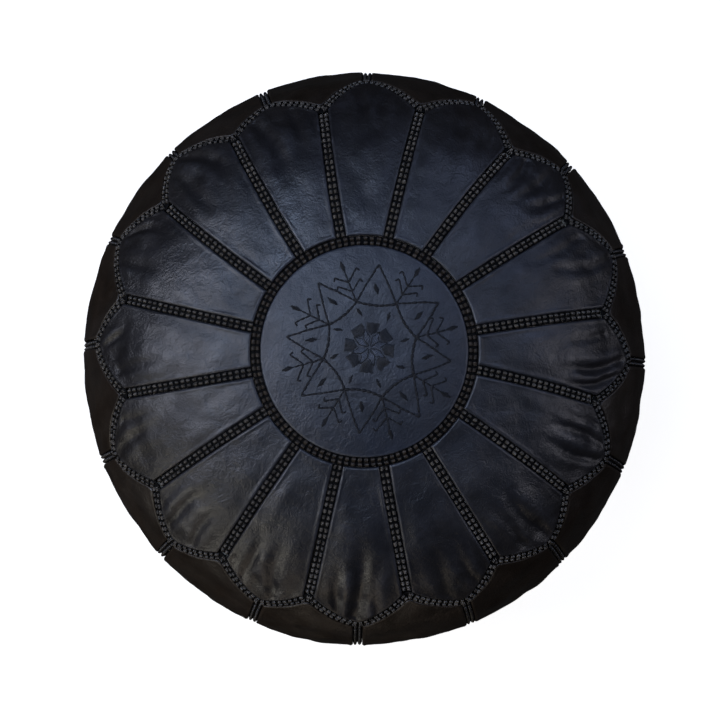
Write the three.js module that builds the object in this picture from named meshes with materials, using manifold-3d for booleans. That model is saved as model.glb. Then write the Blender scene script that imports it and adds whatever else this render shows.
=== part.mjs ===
// A round stuffed leather pouf. Sixteen petal panels meet a round embroidered
// medallion on top, sixteen panels go down the side, and a flat base closes with
// a zip. The cover holds a cotton bag and a wadding core.
// Millimetres, +Z up. The origin is the centre of the underside, at floor level,
// and the zip lies along X.
import * as THREE from "three";
import { mergeVertices } from "three/addons/utils/BufferGeometryUtils.js";
import Module from "manifold-3d";

const wasm = await Module();
wasm.setup();

// The outline of the pouf, from the crown to the middle of the base.
const RADIUS = 249.5;
const HEIGHT = 300;
const WIDEST_Z = 155;
const BASE_FLAT_RADIUS = 165;
const CROWN_PULL = 155;
const SHOULDER_Z = 255;
const HIP_Z = 60;
const HIP_RADIUS = 215;

// The seams, by their distance over the surface from the crown.
const PETALS = 16;
const MEDALLION_SEAM = 91;
const NOTCH = 219;
const TIP = 252;
const BASE_SEAM = 490;
const SCALLOP_POWER = 1.3;

// The leather and the braided seams between the panels.
const LEATHER = 1.6;
const SEAM_WIDTH = 8.4;
const SCALLOP_SEAM_WIDTH = 7;
const BRAID_RISE = 0.5;
const GAP = 0.3;
const PETAL_PUFF = 4;
const SIDE_PUFF = 3;

// How deep the bag and the core lie below the outside of the leather.
const BAG_DEPTH = 4.5;
const BAG_THICKNESS = 0.8;
const CORE_DEPTH = 6.5;
const BAG_MOUTH_RADIUS = 40;

// The raised channel in the base that keeps the zip off the floor.
const ZIP_LENGTH = 260;
const SLIT_HALF_WIDTH = 6;
const CHANNEL_HALF_LENGTH = 128;
const CHANNEL_HALF_WIDTH = 12;
const CHANNEL_REACH = 45;
const CHANNEL_LIFT = 8.2;
const BAG_LIFT = 10;

// The zip. Heights are above the floor.
const TAPE_LENGTH = 272;
const COIL_LENGTH = 256;
const TAPE_OUTER_EDGE = 14;
const TAPE_BOTTOM = 10;
const TAPE_TOP = 10.8;
const COIL_INNER_EDGE = 0.7;
const COIL_OUTER_EDGE = 3;
const COIL_BOTTOM = 7.6;
const SLIDER_LENGTH = 12;
const SLIDER_HALF_WIDTH = 5.5;
const SLIDER_CLOSED_X = 118;
const PIVOT_Z = 4.2;
const PIN_RADIUS = 0.6;
const EYE_OUTER_RADIUS = 1.3;
const EYE_INNER_RADIUS = 0.8;
const PULL_LENGTH = 26;
const PULL_HALF_WIDTH = 4;
const PULL_THICKNESS = 1.2;

// How finely the surfaces are divided.
const CELLS = 6;
const AROUND = PETALS * CELLS;
const BAG_AROUND = 24;
const PETAL_ROWS = 5;
const SIDE_ROWS = 6;
const BASE_AROUND = 48;

const HALF_PETAL = Math.PI / PETALS;
const FRONT = -Math.PI / 2;

const leather = new THREE.MeshStandardMaterial({ color: 0x2b303a, roughness: 0.5, metalness: 0 });
const sideLeather = new THREE.MeshStandardMaterial({ color: 0x1d1c1d, roughness: 0.55, metalness: 0 });
const thread = new THREE.MeshStandardMaterial({ color: 0x16161a, roughness: 0.7, metalness: 0 });
const cotton = new THREE.MeshStandardMaterial({ color: 0xd8cfbc, roughness: 0.95, metalness: 0 });
const wadding = new THREE.MeshStandardMaterial({ color: 0xefece4, roughness: 1, metalness: 0 });
const tape = new THREE.MeshStandardMaterial({ color: 0x141416, roughness: 0.9, metalness: 0 });
const metal = new THREE.MeshStandardMaterial({ color: 0x8a7440, roughness: 0.35, metalness: 1 });

const outline = new THREE.CurvePath();
outline.add(
  new THREE.CubicBezierCurve(
    new THREE.Vector2(0, HEIGHT),
    new THREE.Vector2(CROWN_PULL, HEIGHT),
    new THREE.Vector2(RADIUS, SHOULDER_Z),
    new THREE.Vector2(RADIUS, WIDEST_Z),
  ),
);
outline.add(
  new THREE.CubicBezierCurve(
    new THREE.Vector2(RADIUS, WIDEST_Z),
    new THREE.Vector2(RADIUS, HIP_Z),
    new THREE.Vector2(HIP_RADIUS, 0),
    new THREE.Vector2(BASE_FLAT_RADIUS, 0),
  ),
);
outline.add(new THREE.LineCurve(new THREE.Vector2(BASE_FLAT_RADIUS, 0), new THREE.Vector2(0, 0)));
const [TOP_LENGTH, , FULL_LENGTH] = outline.getCurveLengths();

// 1 along the middle of the channel, 0 away from it.
function channelShare(x, y, halfWidth, reach) {
  const beyondEnd = Math.max(Math.abs(x) - CHANNEL_HALF_LENGTH, 0);
  const away = Math.hypot(beyondEnd, y);
  return 1 - THREE.MathUtils.smoothstep(away, halfWidth, reach);
}

function radiusAt(distance) {
  return outline.getPoint(distance / FULL_LENGTH).x;
}

// A point `depth` below the leather's outside, at an angle and a distance from the crown.
function skinPoint(angle, distance, depth, lift = 0) {
  const share = THREE.MathUtils.clamp(distance / FULL_LENGTH, 0, 1);
  const spot = outline.getPoint(share);
  const along = outline.getTangent(share);
  const radius = distance <= 0 || distance >= FULL_LENGTH ? 0 : spot.x + depth * along.y;
  const point = new THREE.Vector3(
    radius * Math.cos(angle),
    radius * Math.sin(angle),
    spot.y - depth * along.x,
  );
  if (lift && distance > TOP_LENGTH) {
    point.z += lift * channelShare(point.x, point.y, CHANNEL_HALF_WIDTH + 8, CHANNEL_REACH + 15);
  }
  return point;
}

// Two triangles for a quad, leaving out a triangle that has no area.
function addQuad(triangles, a, b, c, d) {
  for (const corners of [[a, b, c], [a, c, d]]) {
    const [p, q, r] = corners;
    const area = q.clone().sub(p).cross(r.clone().sub(p)).length();
    if (area > 1e-7) {
      triangles.push(...corners);
    }
  }
}

function pointGrid(columns, rows, place) {
  const grid = [];
  for (let i = 0; i <= columns; i += 1) {
    grid.push([]);
    for (let j = 0; j <= rows; j += 1) {
      grid[i].push(place(i, j));
    }
  }
  return grid;
}

function geometryOf(triangles) {
  const geometry = new THREE.BufferGeometry().setFromPoints(triangles);
  const merged = mergeVertices(geometry, 1e-4);
  merged.computeVertexNormals();
  return merged;
}

// A skin with a thickness: columns run around the pouf, rows run from the crown down.
// `closed` joins the last column to the first.
function slab(columns, rows, closed, outside, inside) {
  const outer = pointGrid(columns, rows, outside);
  const inner = pointGrid(columns, rows, inside);
  if (closed) {
    outer[columns] = outer[0];
    inner[columns] = inner[0];
  }
  const triangles = [];
  for (let i = 0; i < columns; i += 1) {
    for (let j = 0; j < rows; j += 1) {
      addQuad(triangles, outer[i][j], outer[i][j + 1], outer[i + 1][j + 1], outer[i + 1][j]);
      addQuad(triangles, inner[i][j], inner[i + 1][j], inner[i + 1][j + 1], inner[i][j + 1]);
    }
    addQuad(triangles, outer[i][0], outer[i + 1][0], inner[i + 1][0], inner[i][0]);
    addQuad(triangles, outer[i][rows], inner[i][rows], inner[i + 1][rows], outer[i + 1][rows]);
  }
  if (!closed) {
    for (let j = 0; j < rows; j += 1) {
      addQuad(triangles, outer[0][j], inner[0][j], inner[0][j + 1], outer[0][j + 1]);
      addQuad(
        triangles,
        outer[columns][j],
        outer[columns][j + 1],
        inner[columns][j + 1],
        inner[columns][j],
      );
    }
  }
  return geometryOf(triangles);
}

function toSolid(geometry) {
  const bare = geometry.clone();
  bare.deleteAttribute("normal");
  bare.deleteAttribute("uv");
  const merged = mergeVertices(bare, 1e-4);
  return new wasm.Manifold(
    new wasm.Mesh({
      numProp: 3,
      vertProperties: new Float32Array(merged.attributes.position.array),
      triVerts: new Uint32Array(merged.index.array),
    }),
  );
}

function joined(geometries) {
  const solid = geometries.map(toSolid).reduce((whole, next) => whole.add(next));
  const mesh = solid.getMesh();
  const geometry = new THREE.BufferGeometry();
  geometry.setAttribute("position", new THREE.BufferAttribute(mesh.vertProperties, 3));
  geometry.setIndex(new THREE.BufferAttribute(mesh.triVerts, 1));
  geometry.computeVertexNormals();
  return geometry;
}

const pouf = new THREE.Group();

function add(name, geometry, material) {
  const mesh = new THREE.Mesh(geometry, material);
  mesh.name = name;
  pouf.add(mesh);
  return mesh;
}

function numbered(name, index) {
  return `${name}_${String(index + 1).padStart(2, "0")}`;
}

// The scalloped seam at the petals' outer ends. It is straight between CELLS + 1
// knots on each petal, so the petals, the seam and the side panels share its edges.
// `across` is 0 on a petal's centre line and 1 on the seam between two petals.
const HALF_CELLS = CELLS / 2;
const scallopKnots = [];
for (let k = 0; k <= HALF_CELLS; k += 1) {
  const across = k / HALF_CELLS;
  scallopKnots.push(NOTCH + (TIP - NOTCH) * (1 - across ** SCALLOP_POWER));
}
const knotSpacing = (radiusAt(NOTCH) * HALF_PETAL) / HALF_CELLS;
const scallopHalfWidths = scallopKnots.map((value, k) => {
  const before = scallopKnots[Math.max(k - 1, 0)];
  const after = scallopKnots[Math.min(k + 1, HALF_CELLS)];
  const span = k === 0 || k === HALF_CELLS ? 1 : 2;
  const slope = (before - after) / (span * knotSpacing);
  return (SCALLOP_SEAM_WIDTH / 2) * Math.hypot(1, slope);
});

function betweenKnots(values, across) {
  const place = Math.min(Math.abs(across), 1) * HALF_CELLS;
  const lower = Math.min(Math.floor(place), HALF_CELLS - 1);
  return THREE.MathUtils.lerp(values[lower], values[lower + 1], place - lower);
}

function scallopEdge(across, side) {
  return betweenKnots(scallopKnots, across) + side * betweenKnots(scallopHalfWidths, across);
}

// A braid runs flat and stands a little proud of the leather beside it.
function braidRing(distance) {
  const at = (i, j, depth) =>
    skinPoint((i / AROUND) * 2 * Math.PI, distance + (j - 0.5) * SEAM_WIDTH, depth);
  return slab(
    AROUND,
    1,
    true,
    (i, j) => at(i, j, -BRAID_RISE),
    (i, j) => at(i, j, LEATHER),
  );
}

function braidStrip(angle, start, end, rows) {
  const at = (i, j, depth) => {
    const distance = THREE.MathUtils.lerp(start, end, j / rows);
    const sideways = (i - 0.5) * SEAM_WIDTH;
    return skinPoint(angle + sideways / radiusAt(distance), distance, depth);
  };
  return slab(
    1,
    rows,
    false,
    (i, j) => at(i, j, -BRAID_RISE),
    (i, j) => at(i, j, LEATHER),
  );
}

// The medallion and the braid around it.
const MEDALLION_AROUND = AROUND / 2;
const MEDALLION_ROWS = 2;
const medallionEdge = MEDALLION_SEAM - SEAM_WIDTH / 2 - GAP;
const onMedallion = (i, j, depth) =>
  skinPoint((i / MEDALLION_AROUND) * 2 * Math.PI, (medallionEdge * j) / MEDALLION_ROWS, depth);
add(
  "medallion",
  slab(
    MEDALLION_AROUND,
    MEDALLION_ROWS,
    true,
    (i, j) => onMedallion(i, j, 0),
    (i, j) => onMedallion(i, j, LEATHER),
  ),
  leather,
);
add("medallion_braid", braidRing(MEDALLION_SEAM), thread);

// One petal, puffed up between its seams, more so towards its outer end.
const SEAM_CLEARANCE = SEAM_WIDTH / 2 + GAP;
const petalStart = MEDALLION_SEAM + SEAM_CLEARANCE;
function petal(centre) {
  const rows = PETAL_ROWS;
  const at = (i, j, puff, depth) => {
    const across = i / HALF_CELLS - 1;
    const cornerAcross = 1 - SEAM_CLEARANCE / (radiusAt(NOTCH) * HALF_PETAL);
    const edgeAcross = Math.min(Math.abs(across), cornerAcross);
    const end = scallopEdge(edgeAcross, -1) - GAP;
    const share = j / rows;
    const distance = THREE.MathUtils.lerp(petalStart, end, share);
    const widest = HALF_PETAL - SEAM_CLEARANCE / radiusAt(distance);
    const turn = THREE.MathUtils.clamp(across * HALF_PETAL, -widest, widest);
    const bulge = (1 - across ** 2) * Math.sin(Math.PI * share) ** 0.7 * (0.4 + 0.6 * share);
    return skinPoint(centre + turn, distance, depth - puff * bulge);
  };
  return slab(
    CELLS,
    rows,
    false,
    (i, j) => at(i, j, PETAL_PUFF, 0),
    (i, j) => at(i, j, PETAL_PUFF, LEATHER),
  );
}

// One side panel, from the scalloped seam to the base seam. Its top peaks in the
// notch between two petals.
const sideEnd = BASE_SEAM - SEAM_CLEARANCE;
function sidePanel(centre) {
  const rows = SIDE_ROWS;
  const at = (i, j, puff, depth) => {
    const across = i / HALF_CELLS - 1;
    const cornerAcross = 1 - SEAM_CLEARANCE / (radiusAt(TIP) * HALF_PETAL);
    const edgeAcross = Math.min(Math.abs(across), cornerAcross);
    const start = scallopEdge(1 - edgeAcross, 1) + GAP;
    const share = j / rows;
    const distance = THREE.MathUtils.lerp(start, sideEnd, share);
    const widest = HALF_PETAL - SEAM_CLEARANCE / radiusAt(distance);
    const turn = THREE.MathUtils.clamp(across * HALF_PETAL, -widest, widest);
    const bulge = (1 - across ** 2) * Math.sin(Math.PI * share) ** 0.7;
    return skinPoint(centre + turn, distance, depth - puff * bulge);
  };
  return slab(
    CELLS,
    rows,
    false,
    (i, j) => at(i, j, SIDE_PUFF, 0),
    (i, j) => at(i, j, SIDE_PUFF, LEATHER),
  );
}

const petalBraidEnd = scallopEdge(1, -1) - GAP;
const sideBraidStart = scallopEdge(0, 1) + GAP;
const seamBraids = [braidRing(BASE_SEAM)];
for (let k = 0; k < PETALS; k += 1) {
  const centre = FRONT + 2 * HALF_PETAL * k;
  const between = centre + HALF_PETAL;
  add(numbered("petal", k), petal(centre), leather);
  add(numbered("petal_braid", k), braidStrip(between, petalStart, petalBraidEnd, PETAL_ROWS), thread);
  add(numbered("side_panel", k), sidePanel(between), sideLeather);
  seamBraids.push(braidStrip(centre, sideBraidStart, BASE_SEAM, SIDE_ROWS));
}
add("side_seam_braid", joined(seamBraids), thread);

// The scalloped braid between the petals and the side panels.
const onScallop = (i, j, depth) => {
  const angle = FRONT - HALF_PETAL + (i / AROUND) * 2 * Math.PI;
  const across = (i % CELLS) / HALF_CELLS - 1;
  return skinPoint(angle, scallopEdge(across, 2 * j - 1), depth);
};
add(
  "scallop_braid",
  slab(
    AROUND,
    1,
    true,
    (i, j) => onScallop(i, j, -BRAID_RISE),
    (i, j) => onScallop(i, j, LEATHER),
  ),
  thread,
);

// The base: from its outer edge in to a flat circle, then in to the long slit that
// the zip closes. The leather is lifted along the slit.
const BASE_STEPS = [1, 0.3, 0.2, 0.12, 0.06, 0];
const BASE_OUTER = [BASE_SEAM + SEAM_CLEARANCE, 507];
const SLIT_STRAIGHT_SHARE = 0.8;
function slitPoint(angle) {
  const along = Math.cos(angle) / SLIT_STRAIGHT_SHARE;
  const half = ZIP_LENGTH / 2;
  if (Math.abs(along) <= 1) {
    return new THREE.Vector2(along * (half - SLIT_HALF_WIDTH), Math.sign(Math.sin(angle)) * SLIT_HALF_WIDTH);
  }
  const side = Math.sign(along);
  const corner = Math.acos(SLIT_STRAIGHT_SHARE);
  const turn = Math.asin(Math.sin(angle)) / corner;
  const round = (Math.PI / 2) * THREE.MathUtils.clamp(turn, -1, 1);
  return new THREE.Vector2(
    side * (half - SLIT_HALF_WIDTH + SLIT_HALF_WIDTH * Math.cos(round)),
    SLIT_HALF_WIDTH * Math.sin(round),
  );
}
function onBase(i, j, depth) {
  const angle = (i / BASE_AROUND) * 2 * Math.PI;
  if (j < BASE_OUTER.length) {
    return skinPoint(angle, BASE_OUTER[j], depth);
  }
  const share = BASE_STEPS[j - BASE_OUTER.length];
  const slit = slitPoint(angle);
  const x = THREE.MathUtils.lerp(slit.x, BASE_FLAT_RADIUS * Math.cos(angle), share);
  const y = THREE.MathUtils.lerp(slit.y, BASE_FLAT_RADIUS * Math.sin(angle), share);
  const lift = CHANNEL_LIFT * channelShare(x, y, CHANNEL_HALF_WIDTH, CHANNEL_REACH);
  return new THREE.Vector3(x, y, lift + depth);
}
add(
  "base_disc",
  slab(
    BASE_AROUND,
    BASE_OUTER.length + BASE_STEPS.length - 1,
    true,
    (i, j) => onBase(i, j, 0),
    (i, j) => onBase(i, j, LEATHER - 0.1),
  ),
  sideLeather,
);

// The bag is open where the base's slit is, and the core inside it is closed.
const BAG_ROWS = [0, 70, 135, 190, 235, 280, TOP_LENGTH, 370, 415, 450, 485];
const BAG_BASE_RADII = [BASE_FLAT_RADIUS, 120, 80, BAG_MOUTH_RADIUS];
const bagDistances = [...BAG_ROWS, ...BAG_BASE_RADII.map((radius) => FULL_LENGTH - radius)];
const onBag = (i, j, depth) =>
  skinPoint((i / BAG_AROUND) * 2 * Math.PI, bagDistances[j], depth, BAG_LIFT);
add(
  "inner_bag",
  slab(
    BAG_AROUND,
    bagDistances.length - 1,
    true,
    (i, j) => onBag(i, j, BAG_DEPTH),
    (i, j) => onBag(i, j, BAG_DEPTH + BAG_THICKNESS),
  ),
  cotton,
);

const coreDistances = [...bagDistances, FULL_LENGTH];
const coreGrid = pointGrid(BAG_AROUND, coreDistances.length - 1, (i, j) =>
  skinPoint(((i % BAG_AROUND) / BAG_AROUND) * 2 * Math.PI, coreDistances[j], CORE_DEPTH, BAG_LIFT),
);
const coreTriangles = [];
for (let i = 0; i < BAG_AROUND; i += 1) {
  for (let j = 0; j < coreDistances.length - 1; j += 1) {
    addQuad(coreTriangles, coreGrid[i][j], coreGrid[i][j + 1], coreGrid[i + 1][j + 1], coreGrid[i + 1][j]);
  }
}
add("filling", geometryOf(coreTriangles), wadding);

// The zip: two tapes, each joined to the coil along its inner edge. The tapes run on
// past the ends of the slit. A section's points are (across, height), and it runs along X.
function alongX(section, length) {
  const shape = new THREE.Shape(section.map(([y, z]) => new THREE.Vector2(y, z)));
  const geometry = new THREE.ExtrudeGeometry(shape, { depth: length, bevelEnabled: false });
  geometry.translate(0, 0, -length / 2);
  const turn = new THREE.Matrix4().makeBasis(
    new THREE.Vector3(0, 1, 0),
    new THREE.Vector3(0, 0, 1),
    new THREE.Vector3(1, 0, 0),
  );
  return geometry.applyMatrix4(turn);
}
const COIL_CHAMFER = 0.6;
const COIL_TOP = TAPE_BOTTOM + 0.2;
const tapeSection = [
  [TAPE_OUTER_EDGE, TAPE_BOTTOM],
  [TAPE_OUTER_EDGE, TAPE_TOP],
  [COIL_INNER_EDGE + COIL_CHAMFER, TAPE_TOP],
  [COIL_INNER_EDGE + COIL_CHAMFER, TAPE_BOTTOM],
];
const coilSection = [
  [COIL_OUTER_EDGE, COIL_BOTTOM + COIL_CHAMFER],
  [COIL_OUTER_EDGE, COIL_TOP],
  [COIL_INNER_EDGE + COIL_CHAMFER, COIL_TOP],
  [COIL_INNER_EDGE, COIL_TOP - COIL_CHAMFER],
  [COIL_INNER_EDGE, COIL_BOTTOM + COIL_CHAMFER],
  [COIL_INNER_EDGE + COIL_CHAMFER, COIL_BOTTOM],
  [COIL_OUTER_EDGE - COIL_CHAMFER, COIL_BOTTOM],
];
function mirrored(section) {
  return section.map(([y, z]) => [-y, z]).reverse();
}
add(
  "zip_tape_back",
  joined([alongX(tapeSection, TAPE_LENGTH), alongX(coilSection, COIL_LENGTH)]),
  tape,
);
add(
  "zip_tape_front",
  joined([alongX(mirrored(tapeSection), TAPE_LENGTH), alongX(mirrored(coilSection), COIL_LENGTH)]),
  tape,
);

// The slider: a plate above the tapes, a plate with two flanges below them, and a
// thin blade between the coils. Two cheeks under it hold the pull's pin.
const BLADE_HALF_WIDTH = 0.4;
const FLANGE_INNER_EDGE = 4;
const FLANGE_TOP = 9.6;
const LOWER_PLATE_TOP = 7.2;
const LOWER_PLATE_BOTTOM = 5.8;
const UPPER_PLATE_BOTTOM = 11.2;
const UPPER_PLATE_TOP = 12.4;
const halfSection = [
  [SLIDER_HALF_WIDTH, LOWER_PLATE_BOTTOM],
  [SLIDER_HALF_WIDTH, FLANGE_TOP],
  [FLANGE_INNER_EDGE, FLANGE_TOP],
  [FLANGE_INNER_EDGE, LOWER_PLATE_TOP],
  [BLADE_HALF_WIDTH, LOWER_PLATE_TOP],
  [BLADE_HALF_WIDTH, UPPER_PLATE_BOTTOM],
  [SLIDER_HALF_WIDTH, UPPER_PLATE_BOTTOM],
  [SLIDER_HALF_WIDTH, UPPER_PLATE_TOP],
];
const sliderSection = [...halfSection, ...mirrored(halfSection)];
const CHEEK_INNER_EDGE = 2.2;
const CHEEK_THICKNESS = 1;
const CHEEK_LENGTH = 3;
const cheekBottom = PIVOT_Z - 1.1;
const cheekHeight = LOWER_PLATE_BOTTOM + GAP - cheekBottom;
const sliderPieces = [alongX(sliderSection, SLIDER_LENGTH)];
for (const side of [-1, 1]) {
  const cheek = new THREE.BoxGeometry(CHEEK_LENGTH, CHEEK_THICKNESS, cheekHeight);
  cheek.translate(0, side * (CHEEK_INNER_EDGE + CHEEK_THICKNESS / 2), cheekBottom + cheekHeight / 2);
  sliderPieces.push(cheek);
}
const pin = new THREE.CylinderGeometry(PIN_RADIUS, PIN_RADIUS, 2 * CHEEK_INNER_EDGE + CHEEK_THICKNESS, 12);
sliderPieces.push(pin.translate(0, 0, PIVOT_Z));
const slider = add("zip_slider", joined(sliderPieces), metal);
slider.position.x = SLIDER_CLOSED_X;

// The pull: an eye around the pin and a flat tab with a rounded end.
const EYE_HALF_LENGTH = 1.8;
const tabShape = new THREE.Shape();
const tabNeck = -1.1;
const tabShoulder = -4;
const tabRoundStart = -(PULL_LENGTH - PULL_HALF_WIDTH);
tabShape.moveTo(tabNeck, -EYE_HALF_LENGTH);
tabShape.lineTo(tabNeck, EYE_HALF_LENGTH);
tabShape.lineTo(tabShoulder, PULL_HALF_WIDTH * 0.7);
tabShape.lineTo(tabRoundStart, PULL_HALF_WIDTH);
tabShape.absarc(tabRoundStart, 0, PULL_HALF_WIDTH, Math.PI / 2, (3 * Math.PI) / 2, false);
tabShape.lineTo(tabShoulder, -PULL_HALF_WIDTH * 0.7);
const tab = new THREE.ExtrudeGeometry(tabShape, {
  depth: PULL_THICKNESS,
  bevelEnabled: false,
  curveSegments: 10,
});
tab.translate(0, 0, PIVOT_Z - PULL_THICKNESS / 2);
const eye = new THREE.LatheGeometry(
  [
    new THREE.Vector2(EYE_INNER_RADIUS, -EYE_HALF_LENGTH),
    new THREE.Vector2(EYE_OUTER_RADIUS, -EYE_HALF_LENGTH),
    new THREE.Vector2(EYE_OUTER_RADIUS, EYE_HALF_LENGTH),
    new THREE.Vector2(EYE_INNER_RADIUS, EYE_HALF_LENGTH),
    new THREE.Vector2(EYE_INNER_RADIUS, -EYE_HALF_LENGTH),
  ],
  16,
);
eye.translate(0, 0, PIVOT_Z);
const pull = add("zip_pull", joined([eye, tab]), metal);
pull.position.x = SLIDER_CLOSED_X;

export default pouf;
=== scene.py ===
"""A round stuffed leather pouf: petal panels round an embroidered medallion, panelled
sides, braided seams, and a zipped base over a cotton bag of wadding.

Metres, +Z up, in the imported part's frame. The zip lies along X and the front is -Y.
"""
import math
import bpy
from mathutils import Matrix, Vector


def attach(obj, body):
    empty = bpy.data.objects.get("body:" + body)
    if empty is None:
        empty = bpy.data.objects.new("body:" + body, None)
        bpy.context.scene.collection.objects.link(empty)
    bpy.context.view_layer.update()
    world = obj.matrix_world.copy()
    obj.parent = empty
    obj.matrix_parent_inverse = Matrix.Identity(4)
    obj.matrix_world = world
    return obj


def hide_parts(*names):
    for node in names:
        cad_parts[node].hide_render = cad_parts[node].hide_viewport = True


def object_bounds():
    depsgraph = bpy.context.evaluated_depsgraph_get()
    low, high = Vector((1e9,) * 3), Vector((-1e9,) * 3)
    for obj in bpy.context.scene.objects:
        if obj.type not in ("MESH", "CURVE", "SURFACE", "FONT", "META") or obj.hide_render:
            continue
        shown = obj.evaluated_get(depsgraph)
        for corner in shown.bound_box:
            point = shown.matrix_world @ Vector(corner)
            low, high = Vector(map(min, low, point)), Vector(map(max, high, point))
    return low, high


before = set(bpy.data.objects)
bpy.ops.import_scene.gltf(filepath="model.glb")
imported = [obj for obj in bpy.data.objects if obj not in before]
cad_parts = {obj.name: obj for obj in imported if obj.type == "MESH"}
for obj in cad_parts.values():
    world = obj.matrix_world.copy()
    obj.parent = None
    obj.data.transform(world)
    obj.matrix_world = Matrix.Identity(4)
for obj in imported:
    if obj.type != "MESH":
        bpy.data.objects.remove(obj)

from types import SimpleNamespace

import bpy
import numpy as np
from mathutils import Matrix, Vector

CAD_LOW, CAD_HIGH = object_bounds()
MM = 0.001

# The outline and the seams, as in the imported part, but with the sides spread by their
# load. Seams are placed by their distance over the surface from the crown.
BRAID_RISE = 0.5 * MM
HEIGHT = CAD_HIGH.z
SPREAD = 0.8 * MM
RADIUS = (CAD_HIGH.x - CAD_LOW.x) / 2 - BRAID_RISE + SPREAD
WIDEST_Z = 155 * MM
BASE_FLAT_RADIUS = 165 * MM
CROWN_PULL = 155 * MM
SHOULDER_Z = 255 * MM
HIP_Z = 60 * MM
HIP_RADIUS = 215 * MM
PETALS = 16
HALF_PETAL = math.pi / PETALS
FRONT = -math.pi / 2
MEDALLION_SEAM = 91 * MM
NOTCH = 219 * MM
TIP = 252 * MM
BASE_SEAM = 490 * MM
SCALLOP_POWER = 1.3
SEAM_HALF = 4.1 * MM
SCALLOP_HALF = 3.7 * MM
LEATHER = 1.5 * MM

# The cover is sewn by hand, so it is slightly oval, and its seams stray from their
# even places: notches and tips by millimetres down the surface, and tips and both
# ends of the spokes by degrees round it. Each list starts at the front and goes
# anticlockwise, seen from above.
OVAL = (0.993, 1.013)
NOTCH_STRAYS = np.array([-5, -4, -3, -11, -1, -3, 3, 4, 0, 7, 4, 3, -1, 1, 0, 1]) * MM
TIP_STRAYS = np.array([-5, -9, -9, -8, -4, 2, 2, 10, 7, -5, 9, 6, 1, 2, -3, -6]) * MM
TIP_TURNS = np.radians([0, 1.5, 1.5, 1, 0, 0.5, -1.5, -1, 1, 0.5, 0.5, -0.5, -1, 0, 0, 0.5])
SPOKE_TURNS_INSIDE = np.radians(
    [0, 0.5, 3, 3.5, 0.5, 1.5, 2, 0.5, 2, 2, 1.5, 1, 0.5, -1.5, -1.5, -0.5]
)
SPOKE_TURNS_OUTSIDE = np.radians(
    [0.5, 0.5, 1.5, 1, -0.5, 0.5, -1, -0.5, 0, -0.5, -1, 0, -0.5, -0.5, -0.5, -0.5]
)

# The raised channel in the base, over the zip.
ZIP_LENGTH = 260 * MM
SLIT_HALF_WIDTH = 6 * MM
CHANNEL_HALF_LENGTH = 128 * MM
CHANNEL_HALF_WIDTH = 12 * MM
CHANNEL_REACH = 45 * MM
CHANNEL_LIFT = 8.2 * MM

# How the cover sits: its seams are drawn in, most near the crown and least where the
# sides are widest, and each panel's edge rolls down to them.
SEAM_DEPTH_PLACES = np.array([0, 150, 215, 250, 320, 440, 490]) * MM
SEAM_DEPTHS = np.array([3.2, 3.2, 2.8, 1.6, 0.4, 1.0, 2.4]) * MM
EDGE_ROLL = 1.6 * MM
SIDE_EDGE_ROLL = 0.8 * MM
EDGE_ROLL_WIDTH = 1.9 * MM


# ---------------------------------------------------------------- the outline

def bezier(points, share):
    a, b, c, d = (np.array(p) for p in points)
    t = share[:, None]
    return (1 - t) ** 3 * a + 3 * (1 - t) ** 2 * t * b + 3 * (1 - t) * t ** 2 * c + t ** 3 * d


OUTLINE_STEPS = 1500
_share = np.linspace(0, 1, OUTLINE_STEPS)
UPPER_OUTLINE = bezier(
    [(0, HEIGHT), (CROWN_PULL, HEIGHT), (RADIUS, SHOULDER_Z), (RADIUS, WIDEST_Z)], _share
)
_lower = bezier(
    [(RADIUS, WIDEST_Z), (RADIUS, HIP_Z), (HIP_RADIUS, 0), (BASE_FLAT_RADIUS, 0)], _share
)
_flat = np.stack([np.linspace(BASE_FLAT_RADIUS, 0, 200), np.zeros(200)], 1)
OUTLINE = np.concatenate([UPPER_OUTLINE, _lower[1:], _flat[1:]])
ARC = np.concatenate([[0], np.cumsum(np.hypot(*np.diff(OUTLINE, axis=0).T))])
FULL_LENGTH = ARC[-1]
TOP_LENGTH = ARC[OUTLINE_STEPS - 1]
SLOPE = np.gradient(OUTLINE, ARC, axis=0)
SLOPE /= np.linalg.norm(SLOPE, axis=1)[:, None]


def radius_at(distance):
    return np.interp(distance, ARC, OUTLINE[:, 0])


def seam_depth(distance):
    return np.interp(distance, SEAM_DEPTH_PLACES, SEAM_DEPTHS)


def skin(angle, distance, depth):
    """Points at an angle and a distance from the crown, `depth` below the outline."""
    angle, distance, depth = np.broadcast_arrays(angle, distance, depth)
    height, out, down = (
        np.interp(distance, ARC, values) for values in (OUTLINE[:, 1], SLOPE[:, 0], SLOPE[:, 1])
    )
    radius = np.maximum(radius_at(distance) + depth * down, 0)
    x = radius * np.cos(angle) * OVAL[0]
    y = radius * np.sin(angle) * OVAL[1]
    return np.stack([x, y, height - depth * out], -1)


def channel_share(x, y, half_width=CHANNEL_HALF_WIDTH, reach=CHANNEL_REACH):
    """How much of the channel's lift a place on the base gets, from 0 to 1."""
    away = np.hypot(np.maximum(np.abs(x) - CHANNEL_HALF_LENGTH, 0), y)
    t = np.clip((away - half_width) / (reach - half_width), 0, 1)
    return 1 - t * t * (3 - 2 * t)


def spoke_angle(k, distance):
    """The angle of the spoke after petal k, which drifts between its two ends."""
    share = np.clip((distance - MEDALLION_SEAM) / (NOTCH - MEDALLION_SEAM), 0, 1)
    inside, outside = SPOKE_TURNS_INSIDE[k % PETALS], SPOKE_TURNS_OUTSIDE[k % PETALS]
    return FRONT + HALF_PETAL * (2 * k + 1) + inside + (outside - inside) * share


def upright_angle(k, distance):
    """The angle of the side seam under petal k's tip."""
    share = np.clip((distance - TIP) / (BASE_SEAM - TIP), 0, 1)
    return FRONT + HALF_PETAL * 2 * k + TIP_TURNS[k % PETALS] * (1 - share)


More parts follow.
